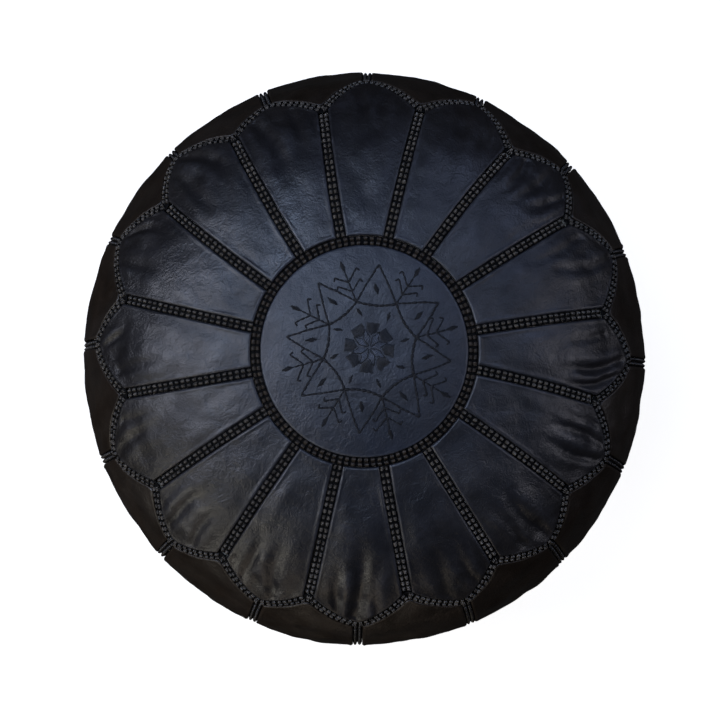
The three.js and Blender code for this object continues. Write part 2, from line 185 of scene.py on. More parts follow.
# The scalloped seam goes from tip to notch to tip, round the cover.
_tips = np.array([upright_angle(k, TIP) for k in range(PETALS)])
_notches = np.array([spoke_angle(k, NOTCH) for k in range(PETALS)])
CORNER_ANGLES = np.append(np.stack([_tips, _notches], 1).ravel(), _tips[0] + 2 * math.pi)
CORNER_PLACES = np.stack([TIP + TIP_STRAYS, NOTCH + NOTCH_STRAYS], 1).ravel()
CORNER_PLACES = np.append(CORNER_PLACES, CORNER_PLACES[0])


def scallop(angle):
    """How far down the surface the scalloped seam's middle lies at an angle."""
    turn = np.mod(angle - CORNER_ANGLES[0], 2 * math.pi) + CORNER_ANGLES[0]
    index = np.clip(np.searchsorted(CORNER_ANGLES, turn, side="right") - 1, 0, 2 * PETALS - 1)
    share = (turn - CORNER_ANGLES[index]) / (CORNER_ANGLES[index + 1] - CORNER_ANGLES[index])
    leaves_tip = index % 2 == 0
    from_tip = np.clip(np.where(leaves_tip, share, 1 - share), 0, 1)
    tip = np.where(leaves_tip, CORNER_PLACES[index], CORNER_PLACES[index + 1])
    notch = np.where(leaves_tip, CORNER_PLACES[index + 1], CORNER_PLACES[index])
    return notch + (tip - notch) * (1 - from_tip ** SCALLOP_POWER)


def scallop_half(angle):
    """Half the seam's width, measured down the surface, so it looks even on a slope."""
    step = 1e-3
    middle = scallop(angle)
    rise = np.maximum(np.abs(scallop(angle + step) - middle), np.abs(middle - scallop(angle - step)))
    return SCALLOP_HALF * np.hypot(1, rise / step / radius_at(middle))


# ---------------------------------------------------------------- noise

_table = np.tile(np.random.default_rng(7).permutation(256), 3)
_slopes = np.random.default_rng(8).normal(size=(256, 3))
_slopes /= np.linalg.norm(_slopes, axis=1)[:, None]


def noise(points):
    """Smooth gradient noise from about -1 to 1 at an array of points."""
    cell = np.floor(points).astype(int)
    inside = points - cell
    cell &= 255
    fade = inside ** 3 * (inside * (inside * 6 - 15) + 10)
    total = np.zeros(points.shape[:-1])
    for corner in np.ndindex(2, 2, 2):
        dx, dy, dz = corner
        key = _table[_table[_table[cell[..., 0] + dx] + cell[..., 1] + dy] + cell[..., 2] + dz]
        weight = np.prod(np.abs(1 - np.array(corner) - fade), axis=-1)
        total += weight * (_slopes[key] * (inside - np.array(corner))).sum(-1)
    return total * 1.5


def layered_noise(points, layers=2):
    return sum(noise(points * 2.0 ** k + 17.3 * k) / 2.0 ** k for k in range(layers))


def stretched_noise(x, y, size, seed, layers=2, bend=0):
    """Noise over a panel, in cells of a width and a length, which may be bent."""
    spot = np.stack([x / size[0] + bend, y / size[1] + bend, 0 * x + seed + bend], -1)
    return layered_noise(spot, layers)


def hump(value, middle, width):
    return np.exp(-(((value - middle) / width) ** 2))


# ---------------------------------------------------------------- meshes

def make_piece(name, points, face_groups, material, slot, node=None, fill=None):
    """A smooth-shaded piece of the cover, from an array of points and arrays of faces. It
    may stand for a CAD node. The padding it is given is not used."""
    mesh = bpy.data.meshes.new(name)
    loops = np.concatenate([g.ravel() for g in face_groups]).astype(np.int32)
    sizes = np.concatenate([np.full(len(g), g.shape[1]) for g in face_groups])
    starts = np.concatenate([[0], np.cumsum(sizes)[:-1]]).astype(np.int32)
    mesh.vertices.add(len(points))
    mesh.vertices.foreach_set("co", np.asarray(points, np.float32).ravel())
    mesh.loops.add(len(loops))
    mesh.loops.foreach_set("vertex_index", loops)
    mesh.polygons.add(len(sizes))
    mesh.polygons.foreach_set("loop_start", starts)
    mesh.polygons.foreach_set("use_smooth", np.ones(len(sizes), bool))
    mesh.update(calc_edges=True)
    mesh.validate()
    mesh.materials.append(material)
    piece = bpy.data.objects.new(name, mesh)
    bpy.context.scene.collection.objects.link(piece)
    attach(piece, "cover")
    if node:
        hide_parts(node)
    return piece


def full_turn(count):
    return np.arange(count) / count * 2 * math.pi


def grid_faces(columns, rows, wrap=False, start=0):
    """Quads over a grid of points stored column by column."""
    i, j = np.meshgrid(np.arange(columns), np.arange(rows), indexing="ij")
    beside = (i + 1) % columns if wrap else i + 1
    a = i * (rows + 1) + j + start
    d = beside * (rows + 1) + j + start
    return np.stack([a, a + 1, d + 1, d], -1).reshape(-1, 4)


def shell_faces(columns, rows, wrap=False, capped=False):
    """Faces that close an outer and an inner grid of the same size into one shell. A capped
    shell is closed over its first ring instead of open there."""
    inner = (columns if wrap else columns + 1) * (rows + 1)
    outside = grid_faces(columns, rows, wrap)
    faces = [outside, outside[:, ::-1] + inner]
    first = np.arange(columns) * (rows + 1)
    beside = np.roll(first, -1) if wrap else first + rows + 1
    if capped:
        faces += [first[None, :], first[None, ::-1] + inner]
    else:
        faces.append(np.stack([first, beside, beside + inner, first + inner], -1))
    last, last_beside = first + rows, beside + rows
    faces.append(np.stack([last, last + inner, last_beside + inner, last_beside], -1))
    if not wrap:
        near = np.arange(rows)
        far = near + columns * (rows + 1)
        faces.append(np.stack([near, near + inner, near + 1 + inner, near + 1], -1))
        faces.append(np.stack([far, far + 1, far + 1 + inner, far + inner], -1))
    return faces


def shell_points(outer, inner):
    return np.concatenate([outer.reshape(-1, 3), inner.reshape(-1, 3)])


def grid_normals(points, wrap=False):
    """Outward normals of a grid whose columns run round and whose rows run down."""
    if wrap:
        around = np.roll(points, -1, 0) - np.roll(points, 1, 0)
    else:
        around = np.gradient(points, axis=0)
    normal = np.cross(np.gradient(points, axis=1), around)
    return normal / np.maximum(np.linalg.norm(normal, axis=-1, keepdims=True), 1e-12)


def add_wear_and_highlight(piece, wear_and_highlight):
    """Stores how much a shell's outer face is lightened, partly as rubbed wear and partly as a painted
    highlight. Its inner face isn't.
    """
    layer = piece.data.attributes.new("wear_and_highlight", "FLOAT", "POINT")
    layer.data.foreach_set("value", np.concatenate([wear_and_highlight.ravel(), 0 * wear_and_highlight.ravel()]).astype(np.float32))


def cubic_matrix(coarse, at):
    """Rows that turn `coarse` + 1 even samples into smooth values at the shares `at`."""
    place = np.clip(at, 0, 1) * coarse
    lower = np.minimum(place.astype(int), coarse - 1)
    t = place - lower
    matrix = np.zeros((len(at), coarse + 1))
    weights = [
        -0.5 * t + t ** 2 - 0.5 * t ** 3,
        1 - 2.5 * t ** 2 + 1.5 * t ** 3,
        0.5 * t + 2 * t ** 2 - 1.5 * t ** 3,
        -0.5 * t ** 2 + 0.5 * t ** 3,
    ]
    rows = np.arange(len(at))
    for step, weight in zip((-1, 0, 1, 2), weights):
        index = lower + step
        np.add.at(matrix, (rows, np.clip(index, 0, coarse)), weight)
        # Past an end the samples go on in a straight line.
        for past, edge, inner in ((index > coarse, coarse, coarse - 1), (index < 0, 0, 1)):
            np.add.at(matrix, (rows[past], edge), weight[past])
            np.add.at(matrix, (rows[past], inner), -weight[past])
    return matrix


def eased_shares(count, crowd):
    """Shares from 0 to 1 that crowd towards both ends."""
    t = np.linspace(0, 1, count + 1)
    return t - crowd * np.sin(2 * math.pi * t) / (2 * math.pi)


# ---------------------------------------------------------------- materials

def colour(red, green, blue):
    """A linear colour from 8-bit sRGB numbers."""
    def linear(value):
        value /= 255
        return value / 12.92 if value <= 0.04045 else ((value + 0.055) / 1.055) ** 2.4
    return (linear(red), linear(green), linear(blue), 1.0)


class Paint:
    """A procedural material while it is being made."""

    def __init__(self, name):
        self.material = bpy.data.materials.new(name)
        self.material.use_nodes = True
        self.tree = self.material.node_tree
        self.shader = self.tree.nodes["Principled BSDF"]
        self.place = self.node("TexCoord", {}).outputs["Object"]
        self.pattern = self.place

    def feed(self, socket, value):
        """Sets a socket to a number or a colour, or links it to another node's output."""
        if isinstance(value, bpy.types.NodeSocket):
            self.tree.links.new(value, socket)
        else:
            socket.default_value = value

    def node(self, kind, inputs, **settings):
        node = self.tree.nodes.new("ShaderNode" + kind)
        for name, value in settings.items():
            setattr(node, name, value)
        for name, value in inputs.items():
            self.feed(node.inputs[name], value)
        return node

    def set(self, **values):
        """Feeds the shader's own sockets, named with underscores for spaces."""
        for name, value in values.items():
            self.feed(self.shader.inputs[name.replace("_", " ")], value)

    def noise(self, scale, detail=4.0, rough=0.55, distortion=0.0):
        return self.node("TexNoise", {
            "Vector": self.pattern, "Scale": scale, "Detail": detail,
            "Roughness": rough, "Distortion": distortion,
        }).outputs["Fac"]

    def ramp(self, value, *stops):
        """Greys or colours between stops, each a place and a shade."""
        node = self.node("ValToRGB", {"Fac": value})
        elements = node.color_ramp.elements
        while len(elements) < len(stops):
            elements.new(0.5)
        for element, (place, shade) in zip(elements, stops):
            element.position = place
            element.color = shade if isinstance(shade, tuple) else (shade, shade, shade, 1.0)
        return node.outputs["Color"]

    def mix(self, factor, first, second, mode="MIX"):
        inputs = {0: factor, 6: first, 7: second}
        return self.node("Mix", inputs, data_type="RGBA", blend_type=mode).outputs[2]

    def math(self, operation, first, second):
        return self.node("Math", {0: first, 1: second}, operation=operation).outputs[0]

    def vector(self, operation, first, *others):
        inputs = dict(enumerate((first, *others)))
        return self.node("VectorMath", inputs, operation=operation).outputs

    def bump(self, height, distance, strength):
        """Adds a bump over the bumps before it."""
        normal = self.shader.inputs["Normal"]
        node = self.node("Bump", {"Height": height, "Distance": distance, "Strength": strength})
        if normal.is_linked:
            self.feed(node.inputs["Normal"], normal.links[0].from_socket)
        self.feed(normal, node.outputs["Normal"])


def leather_material(name, inner, outer, wear_and_highlight_colour, roughness, finish, seed=0.0):
    """Fine-grained leather. Its colour goes from `inner` near the crown to `outer` at
    the sides, and to a lighter colour where the piece's attribute marks its rolled edges
    and crests: partly rubbed wear, partly a painted highlight."""
    paint = Paint(name)
    paint.pattern = paint.vector("ADD", paint.place, (seed, seed * 0.7, seed * 0.3))[0]

    in_plan = paint.vector("MULTIPLY", paint.place, (1.0, 1.0, 0.0))[0]
    reach = paint.vector("LENGTH", in_plan)["Value"]
    reach = paint.math("ADD", reach, paint.math("MULTIPLY", paint.noise(11.0, 4.0, 0.6, 0.4), 0.09))
    base = paint.mix(paint.ramp(reach, (0.13, 0.0), (0.285, 1.0)), inner, outer)
    mottle = paint.ramp(paint.noise(38.0, 6.0, 0.62, 0.8), (0.32, 0.62), (0.5, 1.0), (0.7, 1.45))
    base = paint.mix(0.75, base, mottle, "MULTIPLY")
    # Lighter where the attribute marks rubbed wear and painted highlights, broken into patches.
    wear_and_highlight = paint.node("Attribute", {}, attribute_name="wear_and_highlight").outputs["Fac"]
    wear_and_highlight_patches = paint.ramp(paint.noise(160.0, 5.0, 0.7), (0.35, 0.0), (0.65, 1.0))
    paint.set(Base_Color=paint.mix(paint.math("MULTIPLY", wear_and_highlight, wear_and_highlight_patches), base, wear_and_highlight_colour))

    # Some patches are duller, and some took more wax than others.
    dull = paint.noise(24.0, 5.0, 0.6, 0.5)
    waxed = paint.noise(17.0, 4.0, 0.6, 0.8)
    paint.set(
        Roughness=paint.ramp(dull, (0.3, roughness[0]), (0.72, roughness[1])),
        Specular_IOR_Level=paint.ramp(waxed, (0.34, finish[0]), (0.66, finish[1])),
    )

    # Short soft wrinkles, grain cells, and their fine pores.
    warp = paint.noise(90.0, 3.0)
    bent = paint.vector("MULTIPLY_ADD", warp, (0.012, 0.012, 0.012), paint.pattern)[0]
    cells = paint.node("TexVoronoi", {"Vector": bent, "Scale": 620.0}, feature="SMOOTH_F1")
    paint.bump(paint.noise(105.0, 7.0, 0.66, 0.7), 1.6 * MM, 0.5)
    paint.bump(cells.outputs["Distance"], 0.25 * MM, 0.7)
    paint.bump(paint.noise(900.0, 2.0, 0.6), 0.1 * MM, 0.5)
    return paint.material


def thread_material(name, dark, light, roughness, specular=0.5, fibre_scale=2400.0):
    """Waxed thread: fine twisted fibres, darker in some lengths than in others."""
    paint = Paint(name)
    fibres = paint.noise(fibre_scale, 3.0, 0.7)
    paint.set(
        Base_Color=paint.ramp(paint.noise(210.0, 3.0, 0.75), (0.35, dark), (0.68, light)),
        Roughness=paint.ramp(fibres, (0.3, roughness - 0.08), (0.7, roughness + 0.12)),
        Specular_IOR_Level=specular,
    )
    paint.bump(fibres, 0.2 * MM, 0.5)
    return paint.material


def woven_material(name, dark, light, threads_per_metre):
    """Plain-weave cloth: two crossing sets of threads."""
    paint = Paint(name)
    waves = [
        paint.node("TexWave", {
            "Vector": paint.place, "Scale": threads_per_metre / 6.28, "Distortion": 0.6, "Detail": 2.0,
        }, bands_direction=axis).outputs["Fac"]
        for axis in ("X", "Y")
    ]
    weave = paint.math("MAXIMUM", *waves)
    tone = paint.math("MULTIPLY", paint.noise(30.0, 4.0), weave)
    paint.set(Base_Color=paint.ramp(tone, (0.15, dark), (0.6, light)), Roughness=0.85, Sheen_Weight=0.2)
    paint.bump(weave, 0.3 * MM, 0.8)
    return paint.material


def brass_material(name):
    paint = Paint(name)
    tarnish = paint.noise(260.0, 5.0, 0.65, 0.5)
    tones = ((0.3, colour(88, 66, 34)), (0.6, colour(176, 144, 84)), (0.8, colour(205, 178, 116)))
    paint.set(
        Base_Color=paint.ramp(tarnish, *tones),
        Metallic=1.0,
        Roughness=paint.ramp(tarnish, (0.3, 0.5), (0.75, 0.24)),
    )
    paint.bump(paint.noise(1500.0, 2.0), 0.05 * MM, 0.3)
    return paint.material


def wadding_material(name):
    paint = Paint(name)
    fluff = paint.noise(120.0, 8.0, 0.75, 1.5)
    tone = paint.ramp(fluff, (0.3, colour(196, 190, 178)), (0.65, colour(240, 238, 230)))
    paint.set(Base_Color=tone, Roughness=0.95, Sheen_Weight=0.4)
    paint.bump(fluff, 2.0 * MM, 0.8)
    return paint.material


# Each leather's third colour is the lighter one of its rolled edges and crests: partly rubbed wear, partly a
# painted highlight.
TOP_LEATHER = leather_material(
    "top_leather", colour(26, 29, 36), colour(22, 19, 18), colour(78, 80, 88),
    roughness=(0.31, 0.50), finish=(0.36, 0.66),
)
MEDALLION_LEATHER = leather_material(
    "medallion_leather", colour(28, 32, 41), colour(26, 29, 37), colour(82, 88, 100),
    roughness=(0.36, 0.48), finish=(0.46, 0.58), seed=3.7,
)
SIDE_LEATHER = leather_material(
    "side_leather", colour(21, 18, 17), colour(29, 22, 16), colour(58, 50, 42),
    roughness=(0.34, 0.54), finish=(0.14, 0.56), seed=9.1,
)
BASE_LEATHER = leather_material(
    "base_leather", colour(32, 30, 29), colour(31, 29, 27), colour(70, 66, 62),
    roughness=(0.5, 0.68), finish=(0.4, 0.6), seed=5.3,
)
BRAID_THREAD = thread_material("braid_thread", colour(26, 24, 22), colour(92, 86, 78), 0.27)
SIDE_THREAD = thread_material("side_thread", colour(15, 13, 12), colour(42, 38, 34), 0.40)
# The ring's thread is a darker, browner copy of the braid thread: painted shade for the hollow between the
# medallion and the petals.
RING_SHADE_THREAD = thread_material("ring_thread_painted_shade", colour(20, 17, 14), colour(60, 51, 42), 0.34)
# The welt is near black: painted shade in the gaps between the stitch bundles.
WELT_SHADE = thread_material("welt_leather", colour(3, 3, 4), colour(8, 8, 8), 0.8, 0.12, 900.0)
EMBROIDERY_THREAD = thread_material("embroidery_thread", colour(8, 9, 12), colour(18, 20, 26), 0.6, 0.28)
SQUARE_THREAD = thread_material("square_thread", colour(16, 18, 22), colour(34, 37, 44), 0.5, 0.35)
# The rhombi's thread is pale and bluish: partly its own tone, partly painted sheen.
RHOMB_SHEEN_THREAD = thread_material("rhomb_thread_painted_sheen", colour(46, 52, 64), colour(78, 86, 102), 0.42)
COIL_PLASTIC = thread_material("zip_coil", colour(14, 14, 15), colour(36, 36, 38), 0.42)
COTTON = woven_material("cotton_cloth", colour(176, 166, 146), colour(226, 218, 200), 900.0)
TAPE_CLOTH = woven_material("zip_tape_cloth", colour(10, 10, 11), colour(34, 34, 36), 2400.0)
BRASS = brass_material("aged_brass")
WADDING = wadding_material("wadding_fibre")


# ---------------------------------------------------------------- the cover's panels

# What the petals, or the side panels, have in common: cells in the simulation and in the
# fine mesh, and the heights of the edge roll, of the swell before filling and of the lumps.
PETAL = SimpleNamespace(
    name="petal", cells=(16, 34), fine=(44, 96), roll=EDGE_ROLL, swell=1.8 * MM, lumps=1.1 * MM,
    slot="top_leather", leather=TOP_LEATHER,
)
SIDE = SimpleNamespace(
    name="side_panel", cells=(16, 42), fine=(40, 96), roll=SIDE_EDGE_ROLL, swell=0.6 * MM,
    lumps=1.3 * MM, slot="side_leather", leather=SIDE_LEATHER,
)
PANELS = [(kind, k) for kind in (PETAL, SIDE) for k in range(PETALS)]


def panel_edges(kind, k, distance):
    """The angles of a panel's two long edges, inside its seams."""
    gap = SEAM_HALF / radius_at(distance)
    if kind is PETAL:
        return spoke_angle(k - 1, distance) + gap, spoke_angle(k, distance) - gap
    return upright_angle(k, distance) + gap, upright_angle(k + 1, distance) - gap


def panel_ends(kind, angle):
    """How far down the surface a panel starts and ends at an angle."""
    if kind is PETAL:
        return MEDALLION_SEAM + SEAM_HALF + 0 * angle, scallop(angle) - scallop_half(angle)
    return scallop(angle) + scallop_half(angle), BASE_SEAM - SEAM_HALF + 0 * angle


def panel_end(kind, k, share, which):
    """The distance of a panel's start (0) or end (1) at shares of its width."""
    distance = np.full(np.shape(share), (NOTCH + TIP) / 2)
    for _ in range(5):
        low, high = panel_edges(kind, k, distance)
        distance = panel_ends(kind, low + (high - low) * share)[which]
    return distance


def panel_place(kind, k, across, along):
    """The angle and the distance at shares of -1..1 of a panel's width and 0..1 of its length."""
    share = (across + 1) / 2
    start, end = panel_end(kind, k, share, 0), panel_end(kind, k, share, 1)
    distance = start + (end - start) * along
    low, high = panel_edges(kind, k, distance)
    return low + (high - low) * share, distance


def panel_start(kind, k, across, along):
    """A panel before it is filled: a low pillow, with an uneven face for folds to start on."""
    angle, distance = panel_place(kind, k, across, along)
    pillow = (1 - across ** 4) * np.sin(math.pi * along) ** 0.5
    lumps = layered_noise(skin(angle, distance, 0.0) / (24 * MM)) * pillow
    return skin(angle, distance, seam_depth(distance) - kind.swell * pillow + 0.5 * MM * lumps)


def panel_slack(kind, along):
    """How loose the leather is, from 0 to 1: loosest where a petal is gathered at its tip."""
    if kind is PETAL:
        return np.clip((along - 0.35) / 0.6, 0, 1) ** 1.5
    return 0.25 * np.exp(-along / 0.25) + 0.1


# How the leather is filled in the simulation, and how far a point may move.
CLOTH_SETTINGS = {
    "quality": 8,
    "mass": 0.4,
    "air_damping": 2.0,
    "tension_stiffness": 60.0,
    "compression_stiffness": 60.0,
    "shear_stiffness": 30.0,
    "bending_stiffness": 4.0,
    "tension_damping": 20.0,
    "compression_damping": 20.0,
    "vertex_group_mass": "held",
    "pin_stiffness": 1.0,
    "vertex_group_shrink": "loose",
    "shrink_min": 0.004,
    "shrink_max": -0.008,
    "use_pressure": True,
    "uniform_pressure_force": 3.0,
}
SIM_FRAMES = 20
SMOOTHING = 3
PUFF_LIMIT = 5 * MM


def run_cloth(points, faces, held, slack):
    """Where the points of one sheet of leather end up under pressure."""
    mesh = bpy.data.meshes.new("cover_cloth")
    mesh.from_pydata(points.tolist(), [], faces.tolist())
    sheet = bpy.data.objects.new("cover_cloth", mesh)
    scene = bpy.context.scene
    scene.collection.objects.link(sheet)
    sheet.vertex_groups.new(name="held").add(np.flatnonzero(held).tolist(), 1.0, "REPLACE")
    loose = sheet.vertex_groups.new(name="loose")
    for index, share in enumerate(slack.tolist()):
        loose.add([index], share, "REPLACE")
    cloth = sheet.modifiers.new("cloth", "CLOTH")
    for name, value in CLOTH_SETTINGS.items():
        setattr(cloth.settings, name, value)
    cloth.settings.effector_weights.gravity = 0.0
    cloth.collision_settings.use_collision = False
    cloth.collision_settings.use_self_collision = False
    cloth.point_cache.frame_start = 1
    cloth.point_cache.frame_end = SIM_FRAMES + 3
    for step in range(1, SIM_FRAMES + 1):
        scene.frame_set(step)
    settled = sheet.evaluated_get(bpy.context.evaluated_depsgraph_get())
    moved = np.zeros(len(points) * 3, np.float32)
    settled.data.vertices.foreach_get("co", moved)
    bpy.data.objects.remove(sheet)
    scene.frame_set(1)
    return moved.reshape(-1, 3).astype(float)


def inflate(starts, slacks):
    """Blows all the panels up as leather under pressure, held at their seams."""
    faces, held, offset = [], [], 0
    for start in starts:
        columns, rows = start.shape[:2]
        faces.append(grid_faces(columns - 1, rows - 1, start=offset))
        rim = np.ones((columns, rows), bool)
        rim[1:-1, 1:-1] = False
        held.append(rim.ravel())
        offset += columns * rows
    points = np.concatenate([start.reshape(-1, 3) for start in starts])
    slack = np.concatenate([s.ravel() for s in slacks])
    moved = run_cloth(points, np.concatenate(faces), np.concatenate(held), slack)

    grids, offset = [], 0
    for start in starts:
        count = start.shape[0] * start.shape[1]
        shift = moved[offset:offset + count].reshape(start.shape) - start
        far = np.linalg.norm(shift, axis=-1, keepdims=True)
        shift *= PUFF_LIMIT * np.tanh(far / PUFF_LIMIT) / np.maximum(far, 1e-9)
        for _ in range(SMOOTHING):
            beside = (shift[:-2, 1:-1] + shift[2:, 1:-1] + shift[1:-1, :-2] + shift[1:-1, 2:]) / 4
            shift[1:-1, 1:-1] = (shift[1:-1, 1:-1] + beside) / 2
        grids.append(start + shift)
        offset += count
    return grids


def settled_panels():
    starts, slacks = [], []
    for kind, k in PANELS:
        columns, rows = kind.cells
        across, along = np.meshgrid(
            np.linspace(-1, 1, columns + 1), np.linspace(0, 1, rows + 1), indexing="ij"
        )
        starts.append(panel_start(kind, k, across, along))
        slacks.append(panel_slack(kind, along))
    return inflate(starts, slacks)


# Folds in the petals: (petal, side share, distance share) from and to, how far the
# line bows sideways, depth and width in millimetres.
FOLDS = [
    (1, 0.06, 0.38, -0.08, 1.0, -0.04, 4.2, 6.0),
    (1, 0.62, 0.55, 0.38, 0.99, 0.05, 1.8, 4.2),
    (1, -0.50, 0.60, -0.42, 0.99, 0.04, 1.5, 4.0),
    (2, -0.10, 0.58, -0.18, 0.98, 0.05, 1.3, 5.0),
    (2, 0.40, 0.45, 0.50, 0.97, 0.04, 1.4, 4.6),
    (3, 0.05, 0.45, 0.12, 0.97, 0.05, 3.4, 6.0),
    (3, -0.62, 0.42, -0.40, 0.94, -0.05, 1.6, 4.4),
    (4, 0.10, 0.48, 0.26, 0.97, -0.04, 2.8, 4.2),
    (4, -0.35, 0.52, -0.12, 0.98, 0.05, 2.2, 3.8),
    (4, 0.62, 0.60, 0.60, 0.95, 0.03, 1.4, 3.2),
    (5, -0.55, 0.48, 0.00, 0.95, 0.06, 3.4, 4.6),
    (5, -0.98, 0.62, -0.42, 0.96, 0.06, 3.0, 4.2),
    (5, 0.45, 0.50, 0.60, 0.90, 0.05, 1.2, 4.0),
    (6, 0.30, 0.50, 0.00, 0.97, 0.08, 1.8, 3.6),
    (6, 0.60, 0.40, 0.65, 0.93, 0.05, 1.4, 3.6),
    (7, -0.15, 0.55, -0.60, 0.96, 0.08, 2.6, 3.8),
    (7, 0.15, 0.50, 0.05, 0.98, 0.05, 2.2, 3.8),
    (7, 0.45, 0.55, 0.62, 0.95, 0.03, 2.0, 3.6),
    (8, 0.00, 0.50, 0.30, 0.97, 0.08, 1.4, 5.0),
    (8, -0.40, 0.62, -0.45, 0.96, 0.05, 1.2, 4.4),
    (9, -0.20, 0.55, -0.40, 0.96, -0.05, 1.2, 4.8),
    (9, 0.15, 0.58, 0.35, 0.97, 0.05, 1.2, 4.4),
    (10, 0.35, 0.40, 0.55, 0.97, 0.08, 2.6, 6.0),
    (10, -0.30, 0.50, -0.35, 0.95, 0.06, 1.5, 4.8),
    (11, -0.70, 0.62, 0.05, 0.97, 0.08, 2.6, 6.0),
    (11, 0.50, 0.50, 0.45, 0.93, 0.05, 1.3, 4.2),
    (12, -0.66, 0.80, -0.20, 0.97, 0.08, 2.2, 3.2),
    (12, 0.30, 0.60, 0.40, 0.97, 0.04, 1.3, 4.4),
    (13, -0.34, 0.80, 0.05, 0.97, 0.04, 2.8, 2.8),
    (13, 0.40, 0.50, 0.55, 0.92, 0.03, 1.2, 4.6),
    (14, -0.15, 0.55, 0.10, 0.97, 0.08, 1.6, 4.6),
    (14, -0.45, 0.66, -0.50, 0.94, 0.04, 1.3, 4.0),
    (15, 0.00, 0.48, -0.25, 0.98, 0.08, 2.4, 5.0),
    (15, 0.30, 0.60, 0.42, 0.97, 0.05, 1.8, 3.8),
    (16, 0.10, 0.50, 0.30, 0.97, 0.05, 2.0, 4.8),
    (16, -0.30, 0.58, -0.45, 0.97, 0.05, 1.8, 4.0),
]

# The low ridges beside a fold's valley: their height as a share of its depth, and how far
# out and how wide they are, in widths of the valley.
RIDGE_HEIGHT = 0.45
RIDGE_PLACE = 1.9
RIDGE_WIDTH = 1.1
FOLD_WANDER = 1.6 * MM
FOLD_WANDER_SIZE = 18 * MM


def fold_relief(x, y, start, end, bow, depth, width):
    """The height of one soft fold: a valley with low ridges beside it, which fades out
    and widens towards its start."""
    dx, dy = end[0] - start[0], end[1] - start[1]
    length = math.hypot(dx, dy)
    ex, ey = dx / length, dy / length
    t = ((x - start[0]) * ex + (y - start[1]) * ey) / length
    inside = np.clip(t, 0, 1)
    sideways = (x - start[0]) * -ey + (y - start[1]) * ex
    sideways = sideways - bow * length * np.sin(math.pi * inside)
    beyond = np.maximum(np.maximum(-t, t - 1), 0) * length
    off = np.hypot(sideways, beyond * 1.4)
    fade = np.sin(math.pi / 2 * np.clip(inside / 0.65, 0, 1)) ** 1.3 * (1 - 0.4 * inside ** 4)
    width = width * (1.25 - 0.5 * inside)
    ridge = hump(off, RIDGE_PLACE * width, RIDGE_WIDTH * width)
    return depth * fade * (RIDGE_HEIGHT * ridge - hump(off, 0, width))


def petal_folds(k, x, y, spot):
    """The relief of a petal's own folds, whose lines wander a little."""
    wander = FOLD_WANDER * layered_noise(spot / FOLD_WANDER_SIZE)
    relief = 0
    for petal, x0, y0, x1, y1, bow, depth, width in FOLDS:
        if petal - 1 != k:
            continue
        ends = []
        for across, along in ((x0, y0), (x1, y1)):
            angle, distance = panel_place(PETAL, k, np.array([across]), np.array([along]))
            low, high = panel_edges(PETAL, k, distance)
            sideways = (angle - (low + high) / 2)[0] * radius_at(distance)[0]
            ends.append((float(sideways), float(distance[0])))
        relief = relief + fold_relief(x + wander, y + wander, *ends, bow, depth * MM, width * MM)
    return relief


SIDE_FOLDS = 3
side_draws = np.random.default_rng(16)


def side_folds(x, y):
    """Shallow folds down a side panel, at random."""
    relief = 0
    sag = side_draws.uniform(-0.4, 0.4, SIDE_FOLDS)
    for n in range(SIDE_FOLDS):
        start = (float(sag[n] * 70 * MM), TIP + (45 + 60 * n) * MM)
        end = (float(-sag[n] * 60 * MM), TIP + (95 + 50 * n) * MM)
        depth = side_draws.uniform(0.5, 1.2) * MM
        relief = relief + fold_relief(x, y, start, end, 0.08, depth, 5 * MM)
    return relief


# How the fine mesh crowds towards a panel's edges, across and along it.
EDGE_CROWDING = (0.62, 0.5)
# The finer relief: the sizes of its noise, its heights, how far in from an edge it fades
# out, and how far from an edge it has all its height.
UNEVEN_SIZE = (22 * MM, 22 * MM)
LUMP_SIZE = 34 * MM
LUMP_ROOM = 12 * MM
PLEAT_SIZE = (13 * MM, 60 * MM)
PLEAT_HEIGHT = 0.6 * MM
PLEAT_REACH_TO_END = 18 * MM
PLEAT_REACH_TO_START = 14 * MM
PLEAT_ROOM = 4 * MM
TUCK_SIZE = (60 * MM, 9 * MM)
TUCK_HEIGHT = 0.22 * MM
TUCK_REACH = 9 * MM
TUCK_ROOM = 3 * MM
STREAK_SIZE = (10 * MM, 50 * MM)
STREAK_HEIGHT = 0.6 * MM
STREAK_BEND = 0.35
STREAK_BEND_SIZE = 20 * MM
FOLD_ROOM = 5 * MM
# Where leather is lightened, partly as rubbed wear and partly as a painted highlight: along the edge roll,
# and on what stands out this far.
RIM_PLACE = 1.1 * MM
RIM_WIDTH = 0.8 * MM
CREST_HEIGHT = 2.2 * MM
CREST_WEAR_AND_HIGHLIGHT = 0.3


